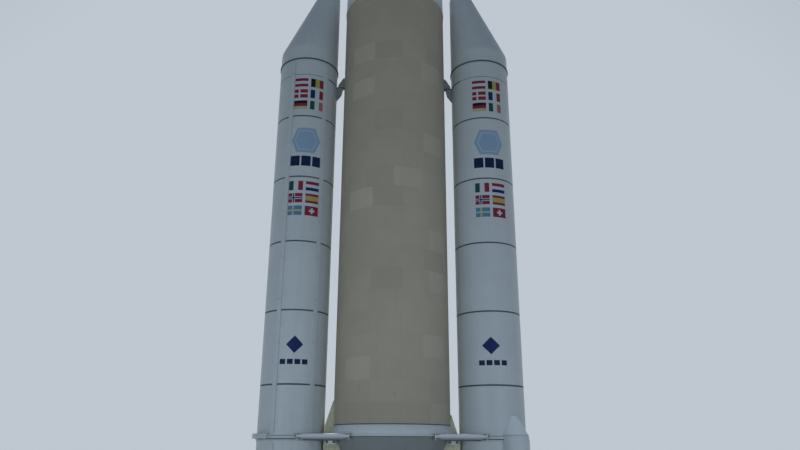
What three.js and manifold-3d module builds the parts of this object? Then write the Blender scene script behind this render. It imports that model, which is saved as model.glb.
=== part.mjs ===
// A heavy space launcher at half size: a cryogenic core stage between two solid-fuel boosters.
// Millimetres, +Z up. It stands on the boosters' aft skirts at Z = 0, the core's axis is X = Y = 0,
// the boosters stand on the X axis, and the side with the painted blocks faces -Y.
// The left booster is built once in its own frame, with +X pointing at the core; the right booster
// is the same booster turned half a turn about the core.

import * as THREE from 'three';
import { mergeVertices } from 'three/addons/utils/BufferGeometryUtils.js';
import Module from 'manifold-3d';

const wasm = await Module();
wasm.setup();

// Driving dimensions. Every length is the full-size rocket's, in metres, and the model is at 1:2.

const modelScale = 0.5;
const metre = 1000 * modelScale;
const seatGap = 0.3 / metre; // 0.3 mm where a curved piece is seated on another

const core = {
  radius: 2.70,
  sides: 48,
  frameBottom: 3.90,
  frameBottomRadius: 1.82,
  frameTopRadius: 2.62,
  frameWall: 0.10,
  frameRoof: 5.30,
  pylonRadius: 0.36, // where the engine's pylon ends, at the fixed ears
  pylonRoofRadius: 0.80, // where the pylon meets the frame's roof
  shieldInner: 0.95,
  shieldThickness: 0.12,
  ringBottom: 5.89,
  tankBottom: 6.37,
  tankTop: 28.40,
  stageBottom: 31.00,
  bayBottom: 34.00,
  fairingBottom: 35.10,
};

const fairing = {
  wall: 0.10,
  shoulder: 44.00,
  tip: 52.00,
  shoulderPull: 3.30, // how far the ogive leaves the shoulder straight up
  tipPull: 1.15, // how blunt the tip is
  steps: 8,
};

const booster = {
  axisX: 4.642,
  radius: 1.525,
  sides: 36,
  skirtWall: 0.075,
  footRadius: 1.62,
  footHeight: 0.12,
  ringBottom: 5.80,
  ringTop: 5.93,
  ringRadius: 1.60,
  caseRadius: 1.40, // the motor case where it dips into the skirt
  coneBase: 24.84,
  coneStart: 25.68,
  coneTip: 29.95,
  coneSlope: 0.455, // the cone's width lost per metre of height, all on its outer side
  shoulderBelow: 0.10, // how far below the cone's start its rounded shoulder begins
  shoulderAbove: 0.20,
  capHeight: 0.42,
};

// The motor case's dome inside the aft skirt, from the fixed ears' plate out to the case.
const boosterDome = { plateRadius: 0.34, rim: [[0.50, 4.10], [1.05, 4.55], [1.40, 5.25]] };

// The booster's stacked motor sections: name, bottom and top.
const boosterSections = [
  { name: 'aft_segment', bottom: booster.ringTop, top: 14.82 },
  { name: 'middle_segment', bottom: 14.82, top: 21.49 },
  { name: 'forward_segment', bottom: 21.49, top: 23.89 },
  { name: 'forward_skirt', bottom: 23.89, top: booster.coneBase },
];

// The core's plain stacked sections, from the aft ring up: name, bottom, top and finish.
const coreSections = [
  { name: 'core_aft_ring', bottom: core.ringBottom, top: core.tankBottom, finish: 'white' },
  { name: 'core_tank', bottom: core.tankBottom, top: core.tankTop, finish: 'insulation' },
  { name: 'core_forward_skirt', bottom: core.tankTop, top: core.stageBottom, finish: 'white' },
  { name: 'upper_stage', bottom: core.stageBottom, top: core.bayBottom, finish: 'white' },
  { name: 'equipment_bay', bottom: core.bayBottom, top: core.fairingBottom, finish: 'grey' },
];

// The three gimballed engines: pivot height, exit height and the sizes of each bell.
const coreEngine = {
  pivot: 4.35, exit: 0.90, exitRadius: 1.05, throat: 3.05, throatRadius: 0.30, wall: 0.06,
};
const boosterEngine = {
  pivot: 3.40, exit: 0.30, exitRadius: 0.95, throat: 2.70, throatRadius: 0.40, wall: 0.06,
};
const engineBell = { sides: 32, steps: 6, flareOut: 0.72, flareDown: 0.42 };
const coreChamber = { collar: 0.10, radius: 0.42, shoulder: 3.45, sides: 24 };
const corePump = {
  x: 0.63, radius: 0.18, low: 3.15, high: 3.90, armLow: 3.55, armHigh: 3.75, armHalf: 0.08, sides: 16,
};
const boosterNeck = { radius: 0.46, rise: 0.12 };
const gimbal = {
  earInner: 0.20,
  earOuter: 0.28,
  earHalfWidth: 0.09,
  earTip: 0.09, // how far an ear reaches past the pin's axis
  reach: 0.30, // from the pin's axis to the plate that carries the ears
  root: 0.02, // how deep an ear is sunk into its plate
  pinRadius: 0.05,
  pinEnd: 0.30,
  holeRadius: 0.0516, // clear of the pin by 0.3 mm at its corners in the model
  hub: 0.16,
  sides: 16,
};

const finishes = {
  white: { color: '#cdd2d6', roughness: 0.5, metalness: 0 },
  insulation: { color: '#c4b496', roughness: 0.85, metalness: 0 },
  grey: { color: '#8d9296', roughness: 0.6, metalness: 0 },
  darkMetal: { color: '#4a4c4e', roughness: 0.5, metalness: 0.6 },
  steel: { color: '#b8bcc0', roughness: 0.35, metalness: 0.8 },
};

// Solids and the cuts and joins between them.

function closedSolid(geometry) {
  const bare = geometry.clone();
  for (const name of Object.keys(bare.attributes)) {
    if (name !== 'position') bare.deleteAttribute(name);
  }
  const merged = mergeVertices(bare, 1e-3);
  const corners = merged.index.array;
  const faces = [];
  for (let i = 0; i < corners.length; i += 3) {
    const [a, b, c] = corners.slice(i, i + 3);
    if (a !== b && b !== c && c !== a) faces.push([a, b, c]);
  }
  const point = (index) => new THREE.Vector3().fromBufferAttribute(merged.attributes.position, index);
  const volume = faces.reduce((sum, [a, b, c]) => sum + point(a).dot(point(b).cross(point(c))), 0);
  merged.setIndex(faces.flatMap(([a, b, c]) => (volume < 0 ? [a, c, b] : [a, b, c])));
  return merged;
}

function toManifold(geometry) {
  const solid = closedSolid(geometry);
  return new wasm.Manifold(new wasm.Mesh({
    numProp: 3,
    vertProperties: new Float32Array(solid.attributes.position.array),
    triVerts: new Uint32Array(solid.index.array),
  }));
}

function fromManifold(manifold) {
  const mesh = manifold.getMesh();
  const geometry = new THREE.BufferGeometry();
  geometry.setAttribute('position', new THREE.BufferAttribute(mesh.vertProperties, 3));
  geometry.setIndex(new THREE.BufferAttribute(mesh.triVerts, 1));
  return geometry;
}

function joined(...geometries) {
  return fromManifold(geometries.map(toManifold).reduce((all, next) => all.add(next)));
}

function without(geometry, ...cutters) {
  const whole = toManifold(geometry);
  return fromManifold(cutters.map(toManifold).reduce((rest, cutter) => rest.subtract(cutter), whole));
}

function common(geometry, other) {
  return fromManifold(toManifold(geometry).intersect(toManifold(other)));
}

// A solid turned about Z from [radius, height] pairs in metres. The first side starts at -Y.
function turned(profile, sides) {
  const points = profile.map(([radius, height]) => new THREE.Vector2(radius * metre, height * metre));
  return closedSolid(new THREE.LatheGeometry(points, sides).rotateX(Math.PI / 2));
}

function drum(radius, bottom, top, sides) {
  return turned([[0, bottom], [radius, bottom], [radius, top], [0, top]], sides);
}

function tube(inner, outer, bottom, top, sides) {
  return turned([[inner, bottom], [outer, bottom], [outer, top], [inner, top], [inner, bottom]], sides);
}

// A box from its lowest to its highest corner, in metres.
function block(low, high) {
  const size = high.map((value, i) => (value - low[i]) * metre);
  const middle = high.map((value, i) => (value + low[i]) / 2 * metre);
  return new THREE.BoxGeometry(...size).translate(...middle);
}

// An outline of [x, z] pairs in metres, extruded along Y from one side to the other.
function slab(outline, fromY, toY) {
  const shape = new THREE.Shape(outline.map(([x, z]) => new THREE.Vector2(x * metre, z * metre)));
  const depth = (toY - fromY) * metre;
  const geometry = new THREE.ExtrudeGeometry(shape, { depth, bevelEnabled: false });
  return closedSolid(geometry.rotateX(Math.PI / 2).translate(0, toY * metre, 0));
}

// A round rod between two points in metres, thinner at its ends.
function rod(start, end, { radius, endRadius, taper, sides }) {
  const from = new THREE.Vector3(...start).multiplyScalar(metre);
  const along = new THREE.Vector3(...end).multiplyScalar(metre).sub(from);
  const length = along.length() / metre;
  const profile = [
    [0, 0], [endRadius, 0], [radius, taper], [radius, length - taper], [endRadius, length], [0, length],
  ];
  const points = profile.map(([r, h]) => new THREE.Vector2(r * metre, h * metre));
  const geometry = new THREE.LatheGeometry(points, sides);
  const turn = new THREE.Quaternion().setFromUnitVectors(new THREE.Vector3(0, 1, 0), along.normalize());
  return closedSolid(geometry.applyQuaternion(turn).translate(from.x, from.y, from.z));
}

// The point at a radius and an angle in degrees, counted from -Y towards +X.
function onCircle(radius, degrees) {
  const angle = THREE.MathUtils.degToRad(degrees);
  return [radius * Math.sin(angle), -radius * Math.cos(angle)];
}

// A geometry made about the -Y direction, turned about Z to an angle counted from -Y towards +X.
function turnedTo(geometry, degrees) {
  return geometry.rotateZ(THREE.MathUtils.degToRad(degrees));
}

// The wedge of space between two angles, for cutting a ring down to an arc.
function wedge(fromDegrees, toDegrees, reach, bottom, top) {
  const steps = 4;
  const rim = Array.from({ length: steps + 1 }, (_, i) => (
    onCircle(reach, fromDegrees + (toDegrees - fromDegrees) * i / steps)
  ));
  const shape = new THREE.Shape([[0, 0], ...rim].map(([x, y]) => new THREE.Vector2(x * metre, y * metre)));
  const depth = (top - bottom) * metre;
  return new THREE.ExtrudeGeometry(shape, { depth, bevelEnabled: false }).translate(0, 0, bottom * metre);
}

// The scene.

const rocket = new THREE.Group();

function addPiece(name, geometry, finish, parent = rocket) {
  const mesh = new THREE.Mesh(closedSolid(geometry), new THREE.MeshStandardMaterial(finishes[finish]));
  mesh.name = name;
  parent.add(mesh);
}

// The outside of the core and of a booster, grown by the seat gap, which seats what they carry.

const coreOutside = turned([
  [0, core.frameBottom - 1],
  [core.frameBottomRadius + seatGap, core.frameBottom - 1],
  [core.frameBottomRadius + seatGap, core.frameBottom],
  [core.frameTopRadius + seatGap, core.ringBottom],
  [core.radius + seatGap, core.ringBottom],
  [core.radius + seatGap, core.fairingBottom],
  [0, core.fairingBottom],
], core.sides);

const boosterOutside = turned([
  [0, -1],
  [booster.footRadius + seatGap, -1],
  [booster.footRadius + seatGap, booster.footHeight + seatGap],
  [booster.radius + seatGap, booster.footHeight + seatGap],
  [booster.radius + seatGap, booster.ringBottom - seatGap],
  [booster.ringRadius + seatGap, booster.ringBottom - seatGap],
  [booster.ringRadius + seatGap, booster.ringTop + seatGap],
  [booster.radius + seatGap, booster.ringTop + seatGap],
  [booster.radius + seatGap, booster.coneBase],
  [0, booster.coneBase],
], booster.sides);

// Engines: a fixed pair of ears, a cross with four pins, and a bell that hangs from the cross.

function ear(sign, alongY, low, high) {
  const [inner, outer, half] = [gimbal.earInner, gimbal.earOuter, gimbal.earHalfWidth];
  const [near, far] = sign > 0 ? [inner, outer] : [-outer, -inner];
  return alongY ? block([-half, near, low], [half, far, high]) : block([near, -half, low], [far, half, high]);
}

function pin(radius, end, alongY, height) {
  const bar = new THREE.CylinderGeometry(radius * metre, radius * metre, 2 * end * metre, gimbal.sides);
  return (alongY ? bar : bar.rotateZ(Math.PI / 2)).translate(0, 0, height * metre);
}

// The two fixed ears, on the X axis, reaching down from the plate above the pivot.
function withFixedEars(carrier, pivot) {
  const [low, high] = [pivot - gimbal.earTip, pivot + gimbal.reach + gimbal.root];
  const ears = [-1, 1].map((sign) => ear(sign, false, low, high));
  return without(joined(carrier, ...ears), pin(gimbal.holeRadius, 1, false, pivot));
}

// The two moving ears, on the Y axis, reaching up from the engine's top plate.
function withMovingEars(engineBody, pivot) {
  const [low, high] = [pivot - gimbal.reach - gimbal.root, pivot + gimbal.earTip];
  const ears = [-1, 1].map((sign) => ear(sign, true, low, high));
  return without(joined(engineBody, ...ears), pin(gimbal.holeRadius, 1, true, pivot));
}

function gimbalCross(pivot) {
  const half = gimbal.hub / 2;
  const hub = block([-half, -half, pivot - half], [half, half, pivot + half]);
  const pins = [false, true].map((alongY) => pin(gimbal.pinRadius, gimbal.pinEnd, alongY, pivot));
  return joined(hub, ...pins);
}

// The curve of a bell from its throat down to its exit, as [radius, height] pairs.
function bellCurve(engine, inset) {
  const throat = new THREE.Vector2(engine.throatRadius - inset, engine.throat);
  const exit = new THREE.Vector2(engine.exitRadius - inset, engine.exit);
  const flare = new THREE.Vector2(
    throat.x + (exit.x - throat.x) * engineBell.flareOut,
    throat.y + (exit.y - throat.y) * engineBell.flareDown,
  );
  const curve = new THREE.QuadraticBezierCurve(throat, flare, exit);
  return curve.getPoints(engineBell.steps).map(({ x, y }) => [x, y]);
}

function bell(engine, top) {
  const outside = bellCurve(engine, 0).reverse();
  const inside = bellCurve(engine, engine.wall);
  return turned([[0, engine.throat], ...inside, ...outside, ...top], engineBell.sides);
}

// The core stage.

for (const section of coreSections) {
  addPiece(section.name, drum(core.radius, section.bottom, section.top, core.sides), section.finish);
}

function thrustFrame() {
  const pylonFoot = coreEngine.pivot + gimbal.reach;
  const slope = (core.frameTopRadius - core.frameBottomRadius) / (core.ringBottom - core.frameBottom);
  const innerBottom = core.frameBottomRadius - core.frameWall;
  const innerTop = innerBottom + slope * (core.frameRoof - core.frameBottom);
  const cone = turned([
    [0, pylonFoot], [core.pylonRadius, pylonFoot],
    [core.pylonRoofRadius, core.frameRoof], [innerTop, core.frameRoof],
    [innerBottom, core.frameBottom], [core.frameBottomRadius, core.frameBottom],
    [core.frameTopRadius, core.ringBottom], [0, core.ringBottom],
  ], core.sides);
  return withFixedEars(cone, coreEngine.pivot);
}

addPiece('thrust_frame', thrustFrame(), 'grey');
const shieldBottom = core.frameBottom - core.shieldThickness;
addPiece('base_heat_shield',
  tube(core.shieldInner, core.frameBottomRadius, shieldBottom, core.frameBottom, core.sides), 'grey');

// The engine block: a chamber with a turbopump on each side, narrowing to the bell's throat.
function coreEngineBlock() {
  const top = coreEngine.pivot - gimbal.reach;
  const foot = coreEngine.throat + coreChamber.collar;
  const { x, radius, low, high, armLow, armHigh, armHalf, sides } = corePump;
  const chamber = turned([
    [0, foot], [coreEngine.throatRadius, foot],
    [coreChamber.radius, coreChamber.shoulder], [coreChamber.radius, top], [0, top],
  ], coreChamber.sides);
  const pumps = [-x, x].map((middle) => drum(radius, low, high, sides).translate(middle * metre, 0, 0));
  const arms = [-x, x].map((middle) => (
    block([Math.min(0, middle), -armHalf, armLow], [Math.max(0, middle), armHalf, armHigh])
  ));
  return withMovingEars(joined(chamber, ...pumps, ...arms), coreEngine.pivot);
}

addPiece('core_gimbal_cross', gimbalCross(coreEngine.pivot), 'steel');
addPiece('core_engine_block', coreEngineBlock(), 'steel');
const throatCollar = coreEngine.throat + coreChamber.collar;
addPiece('core_nozzle',
  bell(coreEngine, [[coreEngine.throatRadius, throatCollar], [0, throatCollar]]), 'darkMetal');

// The payload fairing: a hollow cylinder and ogive, split into a front and a rear half.
function ogive(radius, tip) {
  return new THREE.CubicBezierCurve(
    new THREE.Vector2(radius, fairing.shoulder),
    new THREE.Vector2(radius, fairing.shoulder + fairing.shoulderPull),
    new THREE.Vector2(fairing.tipPull, tip),
    new THREE.Vector2(0, tip),
  ).getPoints(fairing.steps).map(({ x, y }) => [x, y]);
}

function fairingHalf(frontSide) {
  const inner = core.radius - fairing.wall;
  const shell = turned([
    ...ogive(inner, fairing.tip - fairing.wall).reverse(),
    [inner, core.fairingBottom],
    [core.radius, core.fairingBottom],
    ...ogive(core.radius, fairing.tip),
  ], core.sides);
  const [near, far] = frontSide ? [-3, 0] : [0, 3];
  return common(shell, block([-3, near, core.fairingBottom - 1], [3, far, fairing.tip + 1]));
}

addPiece('fairing_half_front', fairingHalf(true), 'white');
addPiece('fairing_half_rear', fairingHalf(false), 'white');

// Down the back of the core: the oxygen feed line and the cable duct.

const feedLine = {
  angle: 150,
  radius: 0.14,
  axis: 2.86,
  bottom: 6.80,
  top: 27.60,
  sides: 16,
  entryHalf: 0.2, // half the height of the boxes that lead the pipe into the core
  clampHeights: [9.5, 13, 16.5, 20, 23.5],
  clampHalfWidth: 0.2,
  clampHalfHeight: 0.06,
  clampProud: 0.03,
};
const seatDepth = 0.1; // how far a piece reaches into the core before it is cut to the core's outside
const cableDuct = { angle: 218, halfWidth: 0.16, outer: 2.82, bottom: 6.60, top: 30.60 };

function feedLinePipe() {
  const pipe = drum(feedLine.radius, feedLine.bottom, feedLine.top, feedLine.sides);
  pipe.translate(0, -feedLine.axis * metre, 0);
  const box = (height, halfWidth, halfHeight, proud) => block(
    [-halfWidth, -feedLine.axis - proud, height - halfHeight],
    [halfWidth, seatDepth - core.radius, height + halfHeight],
  );
  const entries = [feedLine.bottom + feedLine.entryHalf, feedLine.top - feedLine.entryHalf].map((height) => (
    box(height, feedLine.radius, feedLine.entryHalf, 0)
  ));
  const clamps = feedLine.clampHeights.map((height) => (
    box(height, feedLine.clampHalfWidth, feedLine.clampHalfHeight, feedLine.clampProud)
  ));
  return without(turnedTo(joined(pipe, ...entries, ...clamps), feedLine.angle), coreOutside);
}

function cableDuctStrip() {
  const { halfWidth, outer, bottom, top } = cableDuct;
  const strip = block([-halfWidth, -outer, bottom], [halfWidth, seatDepth - core.radius, top]);
  return without(turnedTo(strip, cableDuct.angle), coreOutside);
}

addPiece('oxygen_feed_line', feedLinePipe(), 'insulation');
addPiece('cable_duct', cableDuctStrip(), 'insulation');

// The umbilical plate: a flat plate low on the core's back, where the ground lines plug in.
const umbilicalPlate = { angle: 205, halfWidth: 0.40, outer: 2.76, bottom: 7.00, top: 8.20 };

function umbilicalPanel() {
  const { halfWidth, outer, bottom, top } = umbilicalPlate;
  const panel = block([-halfWidth, -outer, bottom], [halfWidth, seatDepth - core.radius, top]);
  return without(turnedTo(panel, umbilicalPlate.angle), coreOutside);
}

addPiece('umbilical_plate', umbilicalPanel(), 'grey');

// The flared side fairings low on the core, facing each booster, and the core's thrust brackets.

const flare = {
  inner: 2.0,
  outer: 3.08,
  halfWidth: 0.62,
  tops: { left: 7.45, right: 6.85 },
  slope: 0.32, // how much it widens for each metre down from its top
  bottom: 4.60,
  foot: 5.00,
  footStep: 0.25,
  clearance: 1.62, // the radius about a booster's axis that it stays out of
};
const bracket = {
  halfWidth: 0.10,
  root: 0.2, // how deep a bracket's outline reaches into what carries it
  plane: 23.93, // where the core's bracket rests on the booster's
  coreTop: 24.52,
  coreLedge: 0.08,
  coreEnd: 0.07, // from the core bracket's end to the booster
  lip: 0.15,
  boosterBottom: 23.19,
  boosterKnee: [0.24, 23.53], // out from the booster, and height
  boosterEnd: 0.335,
};

for (const [sideName, sign] of [['left', -1], ['right', 1]]) {
  const top = flare.tops[sideName];
  const shoulder = top - (flare.outer - core.radius) / flare.slope;
  const flareOutline = [
    [flare.inner, flare.bottom], [flare.outer - flare.footStep, flare.bottom], [flare.outer, flare.foot],
    [flare.outer, shoulder], [core.radius, top], [flare.inner, top],
  ].map(([x, z]) => [sign * x, z]);
  const boosterSpace = drum(flare.clearance, flare.bottom - 1, top + 1, booster.sides);
  boosterSpace.translate(sign * booster.axisX * metre, 0, 0);
  addPiece(`${sideName}_side_fairing`,
    without(slab(flareOutline, -flare.halfWidth, flare.halfWidth), coreOutside, boosterSpace), 'insulation');

  const wedgeEnd = booster.axisX - booster.radius - bracket.coreEnd;
  const wedgeOutline = [
    [core.radius - bracket.root, bracket.plane], [wedgeEnd, bracket.plane],
    [wedgeEnd, bracket.plane + bracket.lip], [core.radius + bracket.coreLedge, bracket.coreTop],
    [core.radius - bracket.root, bracket.coreTop],
  ].map(([x, z]) => [sign * x, z]);
  addPiece(`${sideName}_core_bracket`,
    without(slab(wedgeOutline, -bracket.halfWidth, bracket.halfWidth), coreOutside), 'grey');
}

// A booster, in its own frame with +X towards the core.

function boosterAftSegment() {
  const pylonFoot = boosterEngine.pivot + gimbal.reach;
  const body = turned([
    [0, pylonFoot], [boosterDome.plateRadius, pylonFoot], ...boosterDome.rim,
    [booster.caseRadius, booster.ringTop], [booster.radius, booster.ringTop],
    [booster.radius, boosterSections[0].top], [0, boosterSections[0].top],
  ], booster.sides);
  return withFixedEars(body, boosterEngine.pivot);
}

// The nose: a cylinder, a rounded shoulder, a cone that leans so that its inner side is upright, and
// a rounded cap. Each level has a radius, a height and how far its middle stands towards the core.
function noseCone() {
  const { radius, coneBase, coneStart, coneTip } = booster;
  const coneRadius = (height) => radius - booster.coneSlope / 2 * (height - coneStart);
  const level = (levelRadius, height, lean = radius - levelRadius) => (
    new THREE.Vector3(levelRadius, height, lean)
  );
  const onCone = (height) => level(coneRadius(height), height);
  const shoulder = new THREE.QuadraticBezierCurve3(
    level(radius, coneStart - booster.shoulderBelow),
    onCone(coneStart),
    onCone(coneStart + booster.shoulderAbove),
  ).getPoints(3);
  const cap = new THREE.QuadraticBezierCurve3(
    onCone(coneTip - booster.capHeight),
    onCone(coneTip),
    level(0, coneTip, radius - coneRadius(coneTip)),
  ).getPoints(6);
  const levels = [level(0, coneBase, 0), level(radius, coneBase), ...shoulder, ...cap];
  const geometry = turned(levels.map(({ x, y }) => [x, y]), booster.sides);
  const position = geometry.attributes.position;
  for (let i = 0; i < position.count; i += 1) {
    const height = position.getZ(i) / metre;
    const nearest = levels.reduce((best, next) => (
      Math.abs(next.y - height) < Math.abs(best.y - height) ? next : best
    ));
    position.setX(i, position.getX(i) + nearest.z * metre);
  }
  return geometry;
}

// The attachment ring with the thicker collar arc on its outer side.
const collar = { from: -72, to: -30, clear: 0.005, outer: 1.74, bottom: 5.78, top: 6.00 };

function aftRing() {
  const { caseRadius, ringRadius, ringBottom, ringTop, radius, sides } = booster;
  const ring = tube(caseRadius + seatGap, ringRadius, ringBottom, ringTop, sides);
  const band = tube(radius + collar.clear, collar.outer, collar.bottom, collar.top, sides);
  const arc = common(band, wedge(collar.from, collar.to, 3, collar.bottom - 1, collar.top + 1));
  return joined(ring, arc);
}

function aftSkirt() {
  const inner = booster.radius - booster.skirtWall;
  return turned([
    [inner, 0], [booster.footRadius, 0], [booster.footRadius, booster.footHeight],
    [booster.radius, booster.footHeight], [booster.radius, booster.ringBottom],
    [inner, booster.ringBottom], [inner, 0],
  ], booster.sides);
}

// The two cable raceways, upright strips down the motor case.
const raceway = {
  angles: { outer: -25, inner: 41 }, halfWidth: 0.11, outer: 1.575, bottom: 6.02, top: 24.60,
};

function racewayStrip(angle) {
  const { halfWidth, outer, bottom, top } = raceway;
  const strip = block([-halfWidth, -outer, bottom], [halfWidth, seatDepth - booster.radius, top]);
  return without(turnedTo(strip, angle), boosterOutside);
}

// The actuator fairing: a blunt, leaning half-cone over a housing, on the skirt's far outer side.
const blister = {
  angle: 180 + 30.5,
  axis: 1.60,
  apexAxis: 1.47,
  housing: [[0, 3.40], [0.25, 3.40], [0.61, 3.90], [0.61, 5.70]], // radius and height
  cone: 5.96,
  coneRadius: 0.57,
  bluntAt: [0.175, 6.77],
  apex: 6.83,
  sides: 32,
};

function actuatorFairing() {
  const { axis, apexAxis, housing, cone, coneRadius, bluntAt, apex } = blister;
  const geometry = turned([
    ...housing, [coneRadius, cone], bluntAt, [bluntAt[0] / 2, apex], [0, apex],
  ], blister.sides);
  const position = geometry.attributes.position;
  for (let i = 0; i < position.count; i += 1) {
    const rise = Math.max(0, position.getZ(i) / metre - cone) / (apex - cone);
    position.setY(i, position.getY(i) - (axis + (apexAxis - axis) * rise) * metre);
  }
  return without(turnedTo(geometry, blister.angle), boosterOutside);
}

// The horizontal struts from the booster's ring to the core's ring, one in front and one behind.
const strut = {
  height: 5.87,
  radius: 0.13,
  endRadius: 0.07,
  taper: 0.22,
  sides: 16,
  boosterAngle: 16.5,
  boosterReach: 0.10, // from the ring to the strut's end
  coreAngle: 41.5,
  coreReach: 0.12,
  lugHalfWidth: 0.10,
  lugHalfDepth: 0.16,
  lugBelow: 0.10,
  boosterLugAbove: 0.10,
  coreLugAbove: 0.30,
};

function aftStrut(sign) {
  const [bx, by] = onCircle(booster.ringRadius + strut.boosterReach, strut.boosterAngle);
  const [cx, cy] = onCircle(core.radius + strut.coreReach, -strut.coreAngle);
  const start = [bx, sign * by, strut.height];
  const end = [booster.axisX + cx, sign * cy, strut.height];
  const bar = rod(start, end, strut);
  const lug = (at, angle, above) => {
    const shape = block(
      [-strut.lugHalfWidth, -strut.lugHalfDepth, strut.height - strut.lugBelow],
      [strut.lugHalfWidth, strut.lugHalfDepth, strut.height + above],
    );
    return turnedTo(shape, angle).translate(at[0] * metre, at[1] * metre, 0);
  };
  const boosterLug = lug(start, sign * strut.boosterAngle, strut.boosterLugAbove);
  const coreLug = lug(end, -sign * strut.coreAngle, strut.coreLugAbove);
  const coreHere = coreOutside.clone().translate(booster.axisX * metre, 0, 0);
  return without(joined(bar, boosterLug, coreLug), boosterOutside, coreHere);
}

function boosterBracket() {
  const [kneeOut, kneeHeight] = bracket.boosterKnee;
  const root = booster.radius - bracket.root;
  const outline = [
    [root, bracket.boosterBottom], [booster.radius, bracket.boosterBottom],
    [booster.radius + kneeOut, kneeHeight], [booster.radius + bracket.boosterEnd, bracket.plane],
    [root, bracket.plane],
  ];
  return without(slab(outline, -bracket.halfWidth, bracket.halfWidth), boosterOutside);
}

function addBooster(side, x, turn) {
  const frame = new THREE.Group();
  frame.position.x = x * metre;
  frame.rotation.z = turn;
  rocket.add(frame);
  const add = (name, geometry, finish) => addPiece(`${side}_${name}`, geometry, finish, frame);

  for (const { name, bottom, top } of boosterSections) {
    const plain = drum(booster.radius, bottom, top, booster.sides);
    add(name, name === 'aft_segment' ? boosterAftSegment() : plain, 'white');
  }
  add('nose_cone', noseCone(), 'white');
  add('aft_ring', aftRing(), 'grey');
  add('aft_skirt', aftSkirt(), 'white');
  add('actuator_fairing', actuatorFairing(), 'white');
  add('booster_bracket', boosterBracket(), 'grey');
  for (const [place, angle] of Object.entries(raceway.angles)) {
    add(`${place}_raceway`, racewayStrip(angle), 'white');
  }
  add('front_strut', aftStrut(1), 'steel');
  add('rear_strut', aftStrut(-1), 'steel');
  add('gimbal_cross', gimbalCross(boosterEngine.pivot), 'steel');
  const top = boosterEngine.pivot - gimbal.reach;
  const neck = [
    [boosterEngine.throatRadius, boosterEngine.throat],
    [boosterNeck.radius, boosterEngine.throat + boosterNeck.rise],
    [boosterNeck.radius, top], [0, top],
  ];
  add('nozzle', withMovingEars(bell(boosterEngine, neck), boosterEngine.pivot), 'darkMetal');
}

addBooster('left', -booster.axisX, 0);
addBooster('right', booster.axisX, Math.PI);

export default rocket;
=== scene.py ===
# %% [markdown]
# # A space launcher at half size
#
# This scene dresses a heavy space launcher: a core stage covered in tan foam, standing between two
# white solid-fuel boosters. It is a half-size model, 26 m tall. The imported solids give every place
# and size, and this script adds the finer surfaces, the paint, the foam, the light and the camera.

# %% Open the frame
import math
import random

import bmesh
import bpy
from mathutils import Matrix, Vector


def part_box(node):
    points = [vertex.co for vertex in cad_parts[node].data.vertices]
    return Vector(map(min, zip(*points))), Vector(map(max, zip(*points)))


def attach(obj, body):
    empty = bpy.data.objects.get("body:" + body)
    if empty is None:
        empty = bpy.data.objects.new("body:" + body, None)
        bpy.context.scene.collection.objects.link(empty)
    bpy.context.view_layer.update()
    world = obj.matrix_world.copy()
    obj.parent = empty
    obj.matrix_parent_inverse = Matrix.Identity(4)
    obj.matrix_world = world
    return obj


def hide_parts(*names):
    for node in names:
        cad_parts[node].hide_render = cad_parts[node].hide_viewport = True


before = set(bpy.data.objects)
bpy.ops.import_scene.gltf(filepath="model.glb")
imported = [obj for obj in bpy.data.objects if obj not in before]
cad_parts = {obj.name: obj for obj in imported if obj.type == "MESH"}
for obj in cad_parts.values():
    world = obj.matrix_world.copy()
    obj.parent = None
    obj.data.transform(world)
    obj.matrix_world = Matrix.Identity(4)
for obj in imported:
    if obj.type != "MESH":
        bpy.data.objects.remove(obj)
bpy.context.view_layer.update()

# %% [markdown]
# ## Full-size metres
#
# Sizes are easier to check against the real rocket when they are written at full size. So every
# size below is a full-size metre, and one factor turns it into the model's own metres at the end.
# The driving sizes are read from the solids, so they can't drift away from them.

# %% Read the driving sizes
HALF = 0.5  # model metres for each metre of the real rocket


def span(node):
    """The lowest and highest corners of a solid, in full-size metres."""
    low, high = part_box(node)
    return low / HALF, high / HALF


tank_low, tank_high = span("core_tank")
case_low, case_high = span("left_middle_segment")
CORE_RADIUS = tank_high.y
BOOSTER_RADIUS = case_high.y
BOOSTER_X = -(case_low.x + case_high.x) / 2
print("core radius", round(CORE_RADIUS, 3))
print("booster radius", round(BOOSTER_RADIUS, 3), "at x", round(BOOSTER_X, 3))

# %% [markdown]
# ## A small kit for turned and bent shapes
#
# Nearly everything on a rocket is round: drums, rings, cones and plates bent around them. They
# could be modelled by hand with spins and the Shrinkwrap modifier. A short function that turns an
# outline about the upright axis gives the same shapes with exact sizes, so that is what is used.
# Angles are counted from the front, -Y, towards +X.

# %% Turn an outline about the upright axis
SIDE_STEP = 1.875  # degrees for each flat side, which makes 192 sides
SUNK = 0.01  # how far a plate bent on a drum reaches into the drum


def at_angle(radius, degrees, height):
    turn = math.radians(degrees)
    return Vector((radius * math.sin(turn), -radius * math.cos(turn), height))


def turned(outline, start=0.0, end=360.0, step=SIDE_STEP):
    """A solid from (radius, height) pairs. An outline that leaves the axis closes on itself."""
    full = end - start >= 360
    count = max(1, round((end - start) / step))
    angles = [start + (end - start) * i / count for i in range(count if full else count + 1)]
    points, rings = [], []
    for radius, height in outline:
        spots = angles if radius > 0 else angles[:1]
        rings.append(range(len(points), len(points) + len(spots)))
        points += [at_angle(radius, angle, height) for angle in spots]
    closing = rings[:1] if outline[0][0] > 0 else []
    faces = []
    for low, high in zip(rings, rings[1:] + closing):
        for i in range(count):
            j = (i + 1) % len(angles)
            corners = (low[i % len(low)], low[j % len(low)], high[j % len(high)], high[i % len(high)])
            faces.append(tuple(dict.fromkeys(corners)))
    if not full:
        faces += [tuple(ring[0] for ring in rings), tuple(ring[-1] for ring in reversed(rings))]
    return points, faces


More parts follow.
